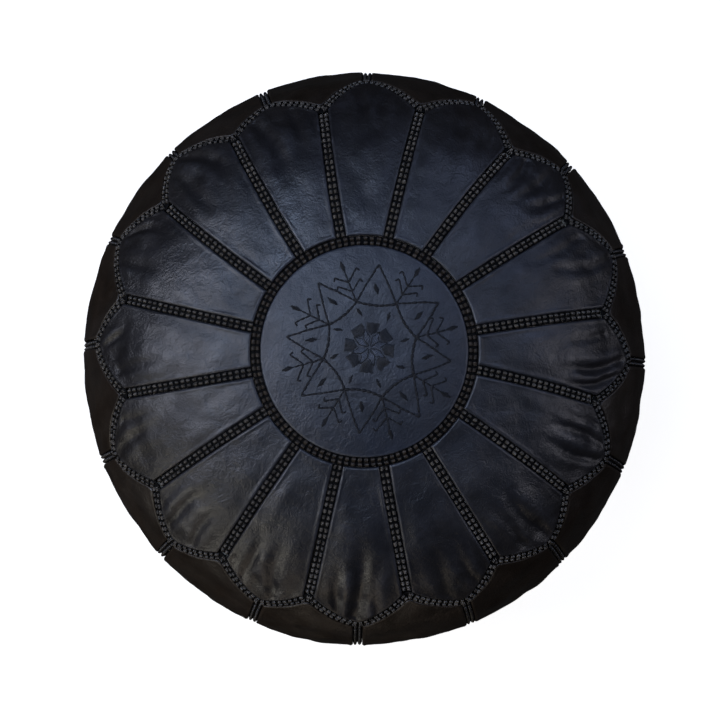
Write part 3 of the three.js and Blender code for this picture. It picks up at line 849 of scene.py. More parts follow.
def finish_panel(kind, k, settled):
    """Turns a settled grid into a finely modelled leather panel with its own thickness."""
    u, v = (eased_shares(count, crowd) for count, crowd in zip(kind.fine, EDGE_CROWDING))
    across_matrix, along_matrix = cubic_matrix(kind.cells[0], u), cubic_matrix(kind.cells[1], v)
    surface = np.einsum("ac,cdx,bd->abx", across_matrix, settled, along_matrix)
    across, along = np.meshgrid(2 * u - 1, v, indexing="ij")
    angle, distance = panel_place(kind, k, across, along)
    low, high = panel_edges(kind, k, distance)
    radius = radius_at(distance)
    x, y = (angle - (low + high) / 2) * radius, distance
    side_gap = np.minimum(angle - low, high - angle) * radius
    start_gap = distance - distance[:, :1]
    end_gap = distance[:, -1:] - distance
    edge_gap = np.maximum(np.minimum(np.minimum(side_gap, start_gap), end_gap), 0)

    def room(width):
        return np.clip(edge_gap / width, 0, 1)

    # The leather turns down to the stitches at its edges, and stands up a little there.
    relief = kind.roll * np.sqrt(1 - (1 - room(EDGE_ROLL_WIDTH)) ** 2)
    uneven = stretched_noise(x, y, UNEVEN_SIZE, k * 3.1)
    relief += (0.2 + 0.5 * uneven) * MM * hump(edge_gap, 2.2 * MM, 1.2 * MM)

    # Large soft lumps, gathers drawn in at the ends, tucks at the sides, and fine creases.
    spot = np.stack([x, y, 0 * x + k * 0.31 + (5.0 if kind is PETAL else 9.0)], -1)
    relief += kind.lumps * layered_noise(spot / LUMP_SIZE) * room(LUMP_ROOM)
    gathers = np.exp(-end_gap / PLEAT_REACH_TO_END)
    if kind is SIDE:
        gathers += np.exp(-start_gap / PLEAT_REACH_TO_START)
    pleats = stretched_noise(x, y, PLEAT_SIZE, k * 1.7)
    relief += PLEAT_HEIGHT * gathers * pleats * room(PLEAT_ROOM)
    tucks = stretched_noise(x, y, TUCK_SIZE, k * 2.3) * np.exp(-side_gap / TUCK_REACH)
    relief += TUCK_HEIGHT * tucks * room(TUCK_ROOM)
    bend = STREAK_BEND * layered_noise(spot / STREAK_BEND_SIZE)
    streak = stretched_noise(x, y, STREAK_SIZE, k * 0.9, 3, bend)
    outward = along ** 2 if kind is PETAL else 0.5
    relief += STREAK_HEIGHT * (0.35 - np.abs(streak)) * outward * room(LUMP_ROOM)
    if kind is PETAL:
        relief += petal_folds(k, x, y, spot) * room(FOLD_ROOM)
    else:
        relief += side_folds(x + 1.5 * MM * streak, y) * room(LUMP_ROOM)

    outer = surface + grid_normals(surface) * relief[..., None]
    inner = outer - grid_normals(outer) * LEATHER
    name = f"{kind.name}_{k + 1:02d}"
    piece = make_piece(
        name + "_leather", shell_points(outer, inner), shell_faces(*kind.fine),
        kind.leather, kind.slot, node=name, fill=0.75,
    )
    # Leather is lightened along its rolled edges and on the backs of folds: partly rubbed wear, partly a
    # painted highlight.
    crest = np.clip((relief - np.median(relief)) / CREST_HEIGHT, 0, 1) * CREST_WEAR_AND_HIGHLIGHT
    rim = (0.25 + 0.5 * uneven) * hump(edge_gap, RIM_PLACE, RIM_WIDTH)
    add_wear_and_highlight(piece, np.clip(rim + crest, 0, 1))


for (panel_kind, panel_number), panel_grid in zip(PANELS, settled_panels()):
    finish_panel(panel_kind, panel_number, panel_grid)


# ---------------------------------------------------------------- the medallion

MEDALLION_EDGE = MEDALLION_SEAM - SEAM_HALF
MEDALLION_CROWN = 2.1 * MM
# Soft lumps in it, and puckers round its edge: size and height.
MEDALLION_LUMPS = ((45 * MM, 0.7 * MM), (13 * MM, 0.25 * MM))
PUCKERS_ROUND = 9
PUCKER_LENGTH = 40 * MM
PUCKER_HEIGHT = 0.35 * MM
PUCKER_REACH = 7 * MM


def medallion_depth(x, y):
    """How deep the medallion's leather lies below the outline, without its edge roll."""
    share = np.hypot(x, y) / MEDALLION_EDGE
    spot = np.stack([x, y, 0 * x], -1)
    lumps = sum(height * layered_noise(spot / size) for size, height in MEDALLION_LUMPS)
    return seam_depth(0) - EDGE_ROLL - MEDALLION_CROWN * (1 - share ** 3) - lumps * (1 - share ** 6)


def build_medallion():
    columns, rows = 192, 64
    share = 1 - (1 - np.linspace(0, 1, rows + 1)) ** 1.5
    share[0] = 0.006
    angle, distance = np.meshgrid(full_turn(columns), share * MEDALLION_EDGE, indexing="ij")
    x, y = distance * np.cos(angle), distance * np.sin(angle)
    gap = MEDALLION_EDGE - distance[0]
    near = np.clip(gap / EDGE_ROLL_WIDTH, 0, 1)
    depth = medallion_depth(x, y) + EDGE_ROLL * (1 - np.sqrt(1 - (1 - near) ** 2))
    ring = np.stack(
        [np.cos(angle) * PUCKERS_ROUND, np.sin(angle) * PUCKERS_ROUND, distance / PUCKER_LENGTH], -1
    )
    depth -= PUCKER_HEIGHT * layered_noise(ring) * np.exp(-gap / PUCKER_REACH) * near
    outer = skin(angle, distance, depth)
    inner = outer - np.array([0, 0, LEATHER])
    piece = make_piece(
        "medallion_leather", shell_points(outer, inner), shell_faces(columns, rows, True, capped=True),
        MEDALLION_LEATHER, "top_leather", node="medallion", fill=0.8,
    )
    # A lighter rim round the medallion's edge: partly rubbed wear, partly a painted highlight.
    add_wear_and_highlight(piece, 0.4 * hump(gap, RIM_PLACE, 0.9 * MM) + 0 * angle)


build_medallion()


# ---------------------------------------------------------------- seams

CELL_PITCH = 5.4 * MM
CELL_FILL = 0.56
STITCH_STEPS = np.array([-1.0, -0.62, 0.0, 0.62, 1.0])
STITCH_SIZES = np.array([0.42, 0.86, 1.0, 0.86, 0.42])
STITCH_SIDES = 6
WELT_ACROSS = np.array([-1.0, -0.8, -0.5, -0.15, 0.0, 0.15, 0.5, 0.8, 1.0])
WELT_RISE = np.array([-0.8, -0.5, -0.3, -0.5, -0.8, -0.5, -0.3, -0.5, -0.8]) * MM
WELT_THICKNESS = 0.8 * MM
STITCH_RISE = 0.9 * MM
STITCH_HEIGHT = 1.3 * MM
# The two rows of bundles lie this share of the seam's half width from its middle, and
# lean a few degrees. Each bundle strays in its angle, place, size and height.
ROW_SHARE = 0.48
ROW_LEAN = 5
TURN_STRAY = 5
SHIFT_STRAY = 0.14 * MM
SIZE_STRAY = 0.07
LIFT_STRAY = 0.12 * MM
STRAND_LIFT_STRAY = 0.05 * MM


def strands(middle, direction, up, half_length, half_width, half_height, arch=0.5):
    """Points and faces of many short strands, one at each middle, along each direction.
    Each arches up and dips at both ends."""
    turn = full_turn(STITCH_SIDES)
    steps, sizes = STITCH_STEPS[:, None], STITCH_SIZES[:, None]
    shape = np.stack([
        steps + 0 * turn, sizes * np.cos(turn), sizes * np.sin(turn) - arch * steps ** 2,
    ], -1).reshape(-1, 3)
    rings = np.arange(len(STITCH_STEPS) * STITCH_SIDES).reshape(-1, STITCH_SIDES)
    beside = np.roll(rings, -1, axis=1)
    quads = np.stack([beside[:-1], beside[1:], rings[1:], rings[:-1]], -1).reshape(-1, 4)
    caps = np.array([rings[0, ::-1], rings[-1]])

    direction = direction / np.linalg.norm(direction, axis=1)[:, None]
    side = np.cross(up, direction)
    side /= np.linalg.norm(side, axis=1)[:, None]
    up = np.cross(direction, side)
    points = middle[:, None]
    halves = (half_length, half_width, half_height)
    for axis, (way, half) in enumerate(zip((direction, side, up), halves)):
        reach = np.broadcast_to(np.asarray(half, float), (len(middle),))
        points = points + way[:, None] * (shape[None, :, axis] * reach[:, None])[..., None]
    shift = (np.arange(len(middle)) * len(shape))[:, None, None]
    return points.reshape(-1, 3), [
        (faces[None] + shift).reshape(-1, faces.shape[1]) for faces in (quads, caps)
    ]


def merged(parts):
    """One set of points and faces from several."""
    groups, offset = [], 0
    for points, faces in parts:
        groups += [group + offset for group in faces]
        offset += len(points)
    return np.concatenate([points for points, faces in parts]), groups


class SeamPath:
    """A seam's line over the cover, with its directions at even steps."""

    def __init__(self, angle, distance, closed):
        depth = seam_depth(distance)
        line = skin(angle, distance, depth)
        above = skin(angle, distance, depth - 1 * MM)
        if closed:
            line = np.concatenate([line, line[:1]])
            above = np.concatenate([above, above[:1]])
        self.line = line
        self.up_line = (above - line) / (1 * MM)
        self.run = np.concatenate([[0], np.cumsum(np.linalg.norm(np.diff(line, axis=0), axis=1))])
        self.length = self.run[-1]
        self.closed = closed
        cells = max(int(round(self.length / CELL_PITCH)), 2)
        self.pitch = self.length / cells
        self.cells = (np.arange(cells) + 0.5) * self.pitch

    def pick(self, values, at):
        return np.stack([np.interp(at, self.run, values[:, c]) for c in range(3)], -1)

    def place(self, at):
        """Points, along, across and up directions at distances along the seam."""
        step = 0.6 * MM
        before, after = at - step, at + step
        if self.closed:
            at, before, after = (np.mod(v, self.length) for v in (at, before, after))
        along = self.pick(self.line, after) - self.pick(self.line, before)
        along /= np.linalg.norm(along, axis=1)[:, None]
        up = self.pick(self.up_line, at)
        up -= (up * along).sum(1)[:, None] * along
        up /= np.linalg.norm(up, axis=1)[:, None]
        return self.pick(self.line, at), along, np.cross(along, up), up


def ring_path(distance):
    return SeamPath(full_turn(1440), np.full(1440, distance), closed=True)


def straight_path(angle_at, k, start, end, wobble, seed):
    """A seam down the surface, whose angle follows `angle_at` and wanders a little."""
    share = np.linspace(0, 1, 240)
    distance = start + (end - start) * share
    sway = np.random.default_rng(seed).normal(size=3)
    bend = sum(sway[n] * np.sin(math.pi * (n + 1) * share) / (n + 1) for n in range(3)) * wobble
    return SeamPath(angle_at(k, distance) + bend / radius_at(distance), distance, closed=False)


def scallop_path():
    angle = FRONT + full_turn(PETALS * 120)
    distance = scallop(angle)
    soft = np.hanning(19)
    soft /= soft.sum()
    wide = np.concatenate([distance[-9:], distance, distance[:9]])
    return SeamPath(angle, np.convolve(wide, soft, "valid"), closed=True)


def build_seam(name, path, node, half, thread, seed, cell=(-1, 0, 1), sink=0.0, arch=1.2, reach=0.43):
    """A braided seam: a near-black welt, which paints the shade in the seam's gaps, with two rows of stitch
    bundles along its middle.
    Each bundle is a `cell` of strands that lie across the seam and arch over it."""
    draw = np.random.default_rng(1000 + seed)
    count = len(path.cells)
    steps = count * 3
    spots = np.arange(steps + (0 if path.closed else 1)) / steps * path.length
    point, along, across, up = path.place(spots)
    outer = (
        point[:, None] + across[:, None] * (WELT_ACROSS * half)[None, :, None]
        + up[:, None] * (WELT_RISE - sink)[None, :, None]
    )
    inner = outer - up[:, None] * WELT_THICKNESS
    faces = shell_faces(steps, len(WELT_ACROSS) - 1, path.closed)
    # The welt's near-black colour paints the shade between the stitches.
    make_piece(name + "_welt", shell_points(outer, inner), faces, WELT_SHADE, "braid", node=node)

    strand_half = path.pitch * CELL_FILL / (2 * len(cell))
    parts = []
    for row in (-1, 1):
        turn = np.radians(row * ROW_LEAN + draw.normal(0, TURN_STRAY, count))[:, None]
        shift = draw.normal(0, SHIFT_STRAY, count)
        size = 1 + draw.normal(0, SIZE_STRAY, count)
        lift = draw.normal(0, LIFT_STRAY, count)
        for strand in cell:
            point, along, across, up = path.place(path.cells + shift + strand * 2 * strand_half)
            direction = across * np.cos(turn) + along * np.sin(turn)
            rise = STITCH_RISE - sink + lift + draw.normal(0, STRAND_LIFT_STRAY, count)
            middle = point + across * (row * ROW_SHARE * half) + up * rise[:, None]
            length = reach * half * size * (1 - 0.1 * abs(strand))
            parts.append(
                strands(middle, direction, up, length, strand_half * 1.08 * size, STITCH_HEIGHT * size, arch)
            )
    make_piece(name + "_stitches", *merged(parts), thread, "braid", node=node)


def build_seams():
    side = dict(node="side_seam_braid", half=SEAM_HALF, thread=SIDE_THREAD, cell=(-0.5, 0.5))
    # The ring's braid takes the darker thread, which paints the shade of its hollow.
    build_seam("medallion_braid", ring_path(MEDALLION_SEAM), "medallion_braid", SEAM_HALF, RING_SHADE_THREAD,
               seed=1, sink=0.5 * MM, arch=0.6, reach=0.49)
    build_seam("scallop_braid", scallop_path(), "scallop_braid", SCALLOP_HALF, BRAID_THREAD, seed=2)
    for k in range(PETALS):
        start = MEDALLION_SEAM + SEAM_HALF - 0.5 * MM
        end = NOTCH + NOTCH_STRAYS[k] - SCALLOP_HALF * 1.15
        name = f"petal_braid_{k + 1:02d}"
        path = straight_path(spoke_angle, k, start, end, 0.3 * MM, 40 + k)
        build_seam(name, path, name, SEAM_HALF, BRAID_THREAD, seed=100 + k)
        start = TIP + TIP_STRAYS[k] + SCALLOP_HALF - 0.5 * MM
        end = BASE_SEAM - SEAM_HALF + 0.5 * MM
        path = straight_path(upright_angle, k, start, end, 0.5 * MM, 70 + k)
        build_seam(f"side_braid_{k + 1:02d}", path, seed=200 + k, sink=1.5 * MM, **side)
    build_seam("base_braid", ring_path(BASE_SEAM), seed=3, **side)


build_seams()


# ---------------------------------------------------------------- the embroidery

SEWN_TURN = math.radians(37.7)
SEWN_CENTRE = np.array([4.2, 2.4]) * MM
STAR_POINTS = 8
STAR_RADIUS = 68.5 * MM
STAR_INNER = 40 * MM
# How far each star point strays, in degrees, as hand sewing does.
STAR_STRAYS = np.radians([-3.5, 1.9, 2.5, 1.2, -1.9, 1.7, 0.0, -0.3])
STAR_THREAD = 0.9 * MM
CURVE_THREAD = 1.15 * MM
SPRIG_THREAD = 0.8 * MM
SATIN_THREAD = 0.48 * MM
STITCH_LENGTH = 4.4 * MM
# How a thread of a line and of a filled shape lies: half its height, arch and lift.
LINE_LIE = (0.6 * MM, 0.35, 0.2 * MM)
SATIN_LIE = (0.55 * MM, 0.3, 0.15 * MM)
LEAF_LENGTH = 11.5 * MM
LEAF_WIDTH = 4.2 * MM
LEAF_SLANT = math.radians(38)
OUTER_LEAF_RADIUS = 48 * MM
INNER_LEAF_RADIUS = 30 * MM
STEM_LENGTH = 25 * MM
# Two pairs of barbs on each sprig: how far up the stem, and how long.
BARBS = [(9.0 * MM, 13.0 * MM), (17.0 * MM, 13.5 * MM)]
BARB_TURN = math.radians(50)
BARB_STRAY = math.radians(3)
HOOK_LENGTH = 3.4 * MM
HOOK_TURN = math.radians(105)
# The rosette: eight pale rhombi round the middle, whose bluish thread is partly its own pale tone and partly
# painted sheen, and dark squares in their notches.
RHOMB_ROOT = 1.2 * MM
RHOMB_TIP = 15.5 * MM
RHOMB_SHOULDER = 8.6 * MM
SQUARE_INNER = 10.4 * MM
SQUARE_SHOULDER = 14.2 * MM
SQUARE_OUTER = 21.2 * MM
SQUARE_SHOULDER_TURN = 0.36
SQUARE_OUTER_TURN = 0.27

sewing = np.random.default_rng(88)
dark_sewing, square_sewing, rhomb_sewing = [], [], []


def heading(angle):
    return np.array([math.cos(angle), math.sin(angle)])


def sideways(way):
    return np.array([-way[1], way[0]])


def around(angle, radius):
    return SEWN_CENTRE + radius * heading(angle)


def on_medallion(places, lift):
    """Points on the medallion's leather, raised by `lift`. Plan places are before the oval."""
    x, y = places.T
    height = np.interp(np.hypot(x, y), UPPER_OUTLINE[:, 0], UPPER_OUTLINE[:, 1])
    return np.stack([x * OVAL[0], y * OVAL[1], height - medallion_depth(x, y) + lift], -1)


def sew_strands(into, middles, unit, reaches, half_width, height, arch, lift):
    ahead, behind = (on_medallion(middles + way * unit * MM, 0) for way in (0.5, -0.5))
    up = np.tile([0.0, 0.0, 1.0], (len(middles), 1))
    place = on_medallion(middles, lift)
    into.append(strands(place, ahead - behind, up, reaches, half_width, height, arch))


def sew_line(first, last, half_width, stitch=STITCH_LENGTH, waver=0.15 * MM, bow=0.0):
    """A row of back stitches from point to point, bowed sideways by a share of its length."""
    span = last - first
    length = float(np.hypot(*span))
    count = max(int(round(length / stitch)), 1)
    share = np.arange(count + 1) / count
    bowed = sideways(span) * (bow * np.sin(math.pi * share))[:, None]
    knots = first + span * share[:, None] + bowed
    knots[1:-1] += sewing.normal(0, waver, (count - 1, 2))
    steps = knots[1:] - knots[:-1]
    reach = np.hypot(*steps.T)
    widths = half_width * (1 + sewing.normal(0, 0.08, count))
    middles = (knots[1:] + knots[:-1]) / 2
    unit = steps / reach[:, None]
    sew_strands(dark_sewing, middles, unit, reach / 2 * 1.06, widths, *LINE_LIE)


def sew_satin(corners, angle, spacing, half_width=SATIN_THREAD, into=dark_sewing):
    """Parallel threads at an angle that fill a shape given by its corners."""
    corners = np.array(corners)
    unit = heading(angle)
    side = sideways(unit)
    u, v = corners @ unit, corners @ side
    middles, reaches = [], []
    for row in np.arange(v.min() + spacing / 2, v.max(), spacing):
        crossings = []
        for n in range(len(u)):
            m = (n + 1) % len(u)
            if (v[n] - row) * (v[m] - row) < 0:
                crossings.append(u[n] + (row - v[n]) / (v[m] - v[n]) * (u[m] - u[n]))
        if len(crossings) >= 2 and max(crossings) - min(crossings) > 0.8 * MM:
            low = min(crossings) + sewing.normal(0, 0.15 * MM)
            high = max(crossings) + sewing.normal(0, 0.15 * MM)
            middles.append(unit * (low + high) / 2 + side * row)
            reaches.append((high - low) / 2)
    if middles:
        middles = np.array(middles)
        sew_strands(into, middles, unit + 0 * middles, np.array(reaches), half_width, *SATIN_LIE)


def sew_leaf(middle, angle, length, width):
    """A small satin lozenge, with its threads slanting across it."""
    out = heading(angle) * length
    side = sideways(heading(angle)) * width / 2
    corners = [middle - out / 2, middle + side + out * 0.1, middle + out / 2, middle - side - out * 0.1]
    sew_satin(corners, angle + LEAF_SLANT, spacing=0.8 * MM)


def sew_sprig(root, angle):
    """A stem with hooked barbs and a leaf at its end, which grows out of a star's corner."""
    out = heading(angle)
    sew_line(root, root + out * STEM_LENGTH, SPRIG_THREAD)
    sew_leaf(root + out * (STEM_LENGTH + LEAF_LENGTH / 2), angle, LEAF_LENGTH * 1.08, LEAF_WIDTH)
    for place, reach in BARBS:
        for side in (-1, 1):
            start = root + out * place
            barb = angle + side * (BARB_TURN + sewing.normal(0, BARB_STRAY))
            end = start + reach * (1 + sewing.normal(0, 0.06)) * heading(barb)
            sew_line(start, end, SPRIG_THREAD, waver=0.1 * MM)
            sew_line(end, end + HOOK_LENGTH * heading(barb + side * HOOK_TURN), SPRIG_THREAD)


def sew_star():
    tips = SEWN_TURN + full_turn(STAR_POINTS) + STAR_STRAYS
    corners = (tips + np.append(tips[1:], tips[0] + 2 * math.pi)) / 2
    tip_points = [around(angle, STAR_RADIUS * (1 + sewing.normal(0, 0.015))) for angle in tips]
    inner_points = [around(angle, STAR_INNER * (1 + sewing.normal(0, 0.03))) for angle in corners]
    for n in range(STAR_POINTS):
        before, point, after = inner_points[n - 1], tip_points[n], inner_points[n]
        sew_line(before, point, STAR_THREAD, bow=-0.015)
        sew_line(point, after, STAR_THREAD, bow=-0.015)
        sew_line(before, after, CURVE_THREAD, bow=0.07, waver=0.08 * MM)
        middle = around(tips[n] + sewing.normal(0, 0.02), OUTER_LEAF_RADIUS)
        sew_leaf(middle, tips[n] + sewing.normal(0.3, 0.12), LEAF_LENGTH, LEAF_WIDTH)
        slant = corners[n] + sewing.normal(0.3, 0.2)
        sew_leaf(around(corners[n], INNER_LEAF_RADIUS), slant, LEAF_LENGTH * 0.85, LEAF_WIDTH * 0.72)
        sew_sprig(after, corners[n] + sewing.normal(0, 0.05))


def sew_rosette():
    half = math.pi / STAR_POINTS
    for n in range(STAR_POINTS):
        angle = SEWN_TURN + half * (2 * n + 1) + sewing.normal(0, 0.03)
        corners = [
            around(angle, RHOMB_ROOT),
            around(angle + half * 0.8, RHOMB_SHOULDER),
            around(angle, RHOMB_TIP),
            around(angle - half * 0.8, RHOMB_SHOULDER),
        ]
        sew_satin(corners, angle + 0.1, spacing=1.15 * MM, half_width=0.4 * MM, into=rhomb_sewing)
        for first, last in zip(corners, corners[1:]):
            sew_line(first, last, 0.42 * MM, stitch=5 * MM, waver=0.1 * MM)
        angle = SEWN_TURN + half * 2 * n + sewing.normal(0, 0.03)
        corners = [
            around(angle, SQUARE_INNER),
            around(angle + SQUARE_SHOULDER_TURN, SQUARE_SHOULDER),
            around(angle + SQUARE_OUTER_TURN, SQUARE_OUTER),
            around(angle - SQUARE_OUTER_TURN, SQUARE_OUTER),
            around(angle - SQUARE_SHOULDER_TURN, SQUARE_SHOULDER),
        ]
        sew_satin(corners, angle + math.radians(80 * (n % 2)), spacing=0.85 * MM, into=square_sewing)


sew_star()
sew_rosette()
make_piece("medallion_embroidery", *merged(dark_sewing), EMBROIDERY_THREAD, "braid")
make_piece("medallion_squares", *merged(square_sewing), SQUARE_THREAD, "braid")
# The rhombi's pale bluish colour is partly painted sheen.
make_piece("medallion_rhombi", *merged(rhomb_sewing), RHOMB_SHEEN_THREAD, "braid")


# ---------------------------------------------------------------- the base and its zip

SLIT_STRAIGHT_SHARE = 0.8
TAPE_LENGTH = 272 * MM
TAPE_EDGES = (1.4 * MM, 14 * MM)
TAPE_BOTTOM = 10.11 * MM
TAPE_THICKNESS = 0.7 * MM
COIL_LENGTH = 256 * MM
TOOTH_PITCH = 1.5 * MM
TOOTH_Y, TOOTH_Z = 1.85 * MM, 8.85 * MM
TOOTH_HALVES = (1.15 * MM, 0.56 * MM, 0.95 * MM)
CORE_PITCH = 3.0 * MM
CORE_Y, CORE_Z = 2.5 * MM, 9.0 * MM
CORE_HALVES = (1.5 * MM, 0.4 * MM, 0.9 * MM)
ZIP_STITCH_PITCH = 3.6 * MM
ZIP_STITCH_ROWS = (3.0 * MM, 6.0 * MM)
ZIP_STITCH_HALVES = (1.35 * MM, 0.34 * MM, 0.3 * MM)


def slit_edge(angle, grow=0.0):
    """The slit's outline in plan, a long rounded slot."""
    half, width = ZIP_LENGTH / 2 + grow, SLIT_HALF_WIDTH + grow
    along = np.cos(angle) / SLIT_STRAIGHT_SHARE
    straight = np.abs(along) <= 1
    turn = np.arcsin(np.sin(angle)) / math.acos(SLIT_STRAIGHT_SHARE)
    bend = math.pi / 2 * np.clip(turn, -1, 1)
    x = np.where(straight, along * (half - width), np.sign(along) * (half - width + width * np.cos(bend)))
    y = np.where(straight, np.sign(np.sin(angle)) * width, width * np.sin(bend))
    return x, y


def build_base():
    columns, plan_rows, rim_rows = 240, 44, 8
    angle = (np.arange(columns)[:, None] + 0.5) / columns * 2 * math.pi
    flat_start = FULL_LENGTH - BASE_FLAT_RADIUS
    rim = np.linspace(BASE_SEAM + SEAM_HALF, flat_start, rim_rows + 1)[:-1]
    gap = rim - rim[0]
    near = np.clip(gap / EDGE_ROLL_WIDTH, 0, 1)
    depth = seam_depth(BASE_SEAM) - EDGE_ROLL * np.sqrt(1 - (1 - near) ** 2)
    rim_points = skin(angle, rim, depth * (1 - gap / (flat_start - rim[0])) ** 1.3)

    share = (1 - np.linspace(0, 1, plan_rows + 1)) ** 1.8
    slit_x, slit_y = slit_edge(angle)
    x = slit_x + (BASE_FLAT_RADIUS * np.cos(angle) - slit_x) * share
    y = slit_y + (BASE_FLAT_RADIUS * np.sin(angle) - slit_y) * share
    waves = 0.5 * MM * (1 + layered_noise(np.stack([x, y, 0 * x], -1) / (40 * MM), 3))
    lifted = channel_share(x, y)
    z = CHANNEL_LIFT * lifted + np.clip(waves, 0, None) * np.clip(1 - lifted, 0, 1) * (1 - share ** 4)
    outer = np.concatenate([rim_points, np.stack([x, y, z], -1)], 1)
    inner = outer - grid_normals(outer, wrap=True) * LEATHER
    faces = shell_faces(columns, rim_rows + plan_rows, wrap=True)
    points = shell_points(outer, inner)
    make_piece("base_disc_leather", points, faces, BASE_LEATHER, "base_leather", node="base_disc")


def build_zip_stitching():
    """Two rows of running stitches, which hold the tapes to the leather."""
    parts = []
    for grow in ZIP_STITCH_ROWS:
        line_x, line_y = slit_edge(np.linspace(0, 2 * math.pi, 2400), grow)
        run = np.concatenate([[0], np.cumsum(np.hypot(np.diff(line_x), np.diff(line_y)))])
        at = np.arange(0, run[-1], ZIP_STITCH_PITCH)
        (px, py), (qx, qy) = (
            (np.interp(spots, run, line_x), np.interp(spots, run, line_y)) for spots in (at, at + 0.2 * MM)
        )
        middle = np.stack([px, py, CHANNEL_LIFT * channel_share(px, py) - 0.05 * MM], -1)
        direction = np.stack([qx - px, qy - py, 0 * px], -1)
        good = np.hypot(qx - px, qy - py) > 1e-9
        down = np.tile([0.0, 0.0, -1.0], (good.sum(), 1))
        parts.append(strands(middle[good], direction[good], down, *ZIP_STITCH_HALVES))
    make_piece("zip_stitching", *merged(parts), BRAID_THREAD, "braid")


def zip_strands(at, y, z, direction, halves, arch):
    """A row of strands along the zip, seen from below."""
    middle = np.stack([at, 0 * at + y, 0 * at + z], -1)
    ways = np.tile(direction, (len(at), 1))
    down = np.tile([0.0, 0.0, -1.0], (len(at), 1))
    return strands(middle, ways, down, *halves, arch)


def build_tape(name, side):
    columns, rows = 160, 12
    x, y = np.meshgrid(
        np.linspace(-TAPE_LENGTH / 2, TAPE_LENGTH / 2, columns + 1),
        side * np.linspace(*TAPE_EDGES, rows + 1), indexing="ij",
    )
    ripple = 0.06 * MM * np.sin(x / (5 * MM)) * np.clip((np.abs(y) - 4 * MM) / (6 * MM), 0, 1)
    low = np.stack([x, y, TAPE_BOTTOM + ripple], -1)
    high = low + np.array([0, 0, TAPE_THICKNESS])
    points = shell_points(low, high) if side > 0 else shell_points(high, low)
    make_piece(name + "_cloth", points, shell_faces(columns, rows), TAPE_CLOTH, "zip_tape", node=name)

    # The coil's teeth, and the cord that runs inside it, under its sewing.
    teeth_at = np.arange(-COIL_LENGTH / 2 + TOOTH_PITCH, COIL_LENGTH / 2 - TOOTH_PITCH, TOOTH_PITCH)
    teeth_at += side * TOOTH_PITCH / 4
    core_at = np.arange(-COIL_LENGTH / 2, COIL_LENGTH / 2, CORE_PITCH) + CORE_PITCH / 2
    points, faces = merged([
        zip_strands(teeth_at, side * TOOTH_Y, TOOTH_Z, (0.0, side, 0.0), TOOTH_HALVES, 0.25),
        zip_strands(core_at, side * CORE_Y, CORE_Z, (1.0, 0.0, 0.0), CORE_HALVES, 0.1),
    ])
    make_piece(name + "_coil", points, faces, COIL_PLASTIC, "zip_tape", node=name)


def dress_metal(name):
    """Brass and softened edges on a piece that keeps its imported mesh."""
    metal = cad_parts[name]
    metal.data.materials.clear()
    metal.data.materials.append(BRASS)
    rounding = metal.modifiers.new("rounding", "BEVEL")
    rounding.width = 0.22 * MM
    rounding.segments = 3
    rounding.limit_method = "ANGLE"
    rounding.angle_limit = math.radians(35)


build_base()
build_zip_stitching()
build_tape("zip_tape_back", 1)
build_tape("zip_tape_front", -1)
dress_metal("zip_slider")
dress_metal("zip_pull")


# ---------------------------------------------------------------- inside the cover

INNER_COLUMNS = 160
INNER_START = 0.8 * MM
BAG_DEPTH = 7.2 * MM
BAG_THICKNESS = 0.8 * MM
BAG_MOUTH_RADIUS = 40 * MM
BAG_GATHERS = 46
WADDING_DEPTH = 10.2 * MM
# The bag and the wadding clear the channel by this much on every side.
INNER_LIFT = 10 * MM
INNER_CLEARANCE = 8 * MM


def inner_grid(end, rows, depth_of):
    """A closed surface inside the cover, from the crown to a distance from it."""
    angle, distance = np.meshgrid(
        full_turn(INNER_COLUMNS), np.linspace(INNER_START, end, rows + 1), indexing="ij"
    )
    grid = skin(angle, distance, depth_of(angle, distance, skin(angle, distance, 0.0)))
    share = channel_share(
        grid[..., 0], grid[..., 1],
        CHANNEL_HALF_WIDTH + INNER_CLEARANCE, CHANNEL_REACH + 2 * INNER_CLEARANCE,
    )
    grid[..., 2] += (distance > TOP_LENGTH) * INNER_LIFT * share
    return grid


def build_bag():
    rows = 90
    mouth = FULL_LENGTH - BAG_MOUTH_RADIUS

    def depth_of(angle, distance, spot):
        creases = np.abs(layered_noise(spot / (26 * MM), 3))
        gathers = np.sin(angle * BAG_GATHERS) * np.exp(-(mouth - distance) / (30 * MM))
        return BAG_DEPTH + 1.1 * MM * creases + 0.8 * MM * gathers

    outer = inner_grid(mouth, rows, depth_of)
    inner = outer - grid_normals(outer, wrap=True) * BAG_THICKNESS
    make_piece(
        "inner_bag_cotton", shell_points(outer, inner), shell_faces(INNER_COLUMNS, rows, True, capped=True),
        COTTON, "cotton", node="inner_bag", fill=0.8,
    )


def build_filling():
    rows = 100

    def depth_of(angle, distance, spot):
        return WADDING_DEPTH + 2.6 * MM * np.abs(layered_noise(spot / (38 * MM), 4))

    grid = inner_grid(FULL_LENGTH - INNER_START, rows, depth_of)
    first = np.arange(INNER_COLUMNS) * (rows + 1)
    faces = [grid_faces(INNER_COLUMNS, rows, wrap=True), first[None, :], (first + rows)[None, ::-1]]
    make_piece(
        "filling_wadding", grid.reshape(-1, 3), faces, WADDING, "wadding", node="filling", fill=0.8
    )


build_bag()
build_filling()


# ---------------------------------------------------------------- camera, light and floor

scene = bpy.context.scene
IMAGE_SIZE = 720
FOCAL_PIXELS = 1904.5
CAMERA_DISTANCE = 1.70
CAMERA_TILT = math.radians(2.4)
CAMERA_TURN = math.radians(3)
CAMERA_ROLL = math.radians(1.4)
SHIFT_PIXELS = (-4.5, -2.0)
CENTRE = Vector((0.0, 0.0, 0.2))
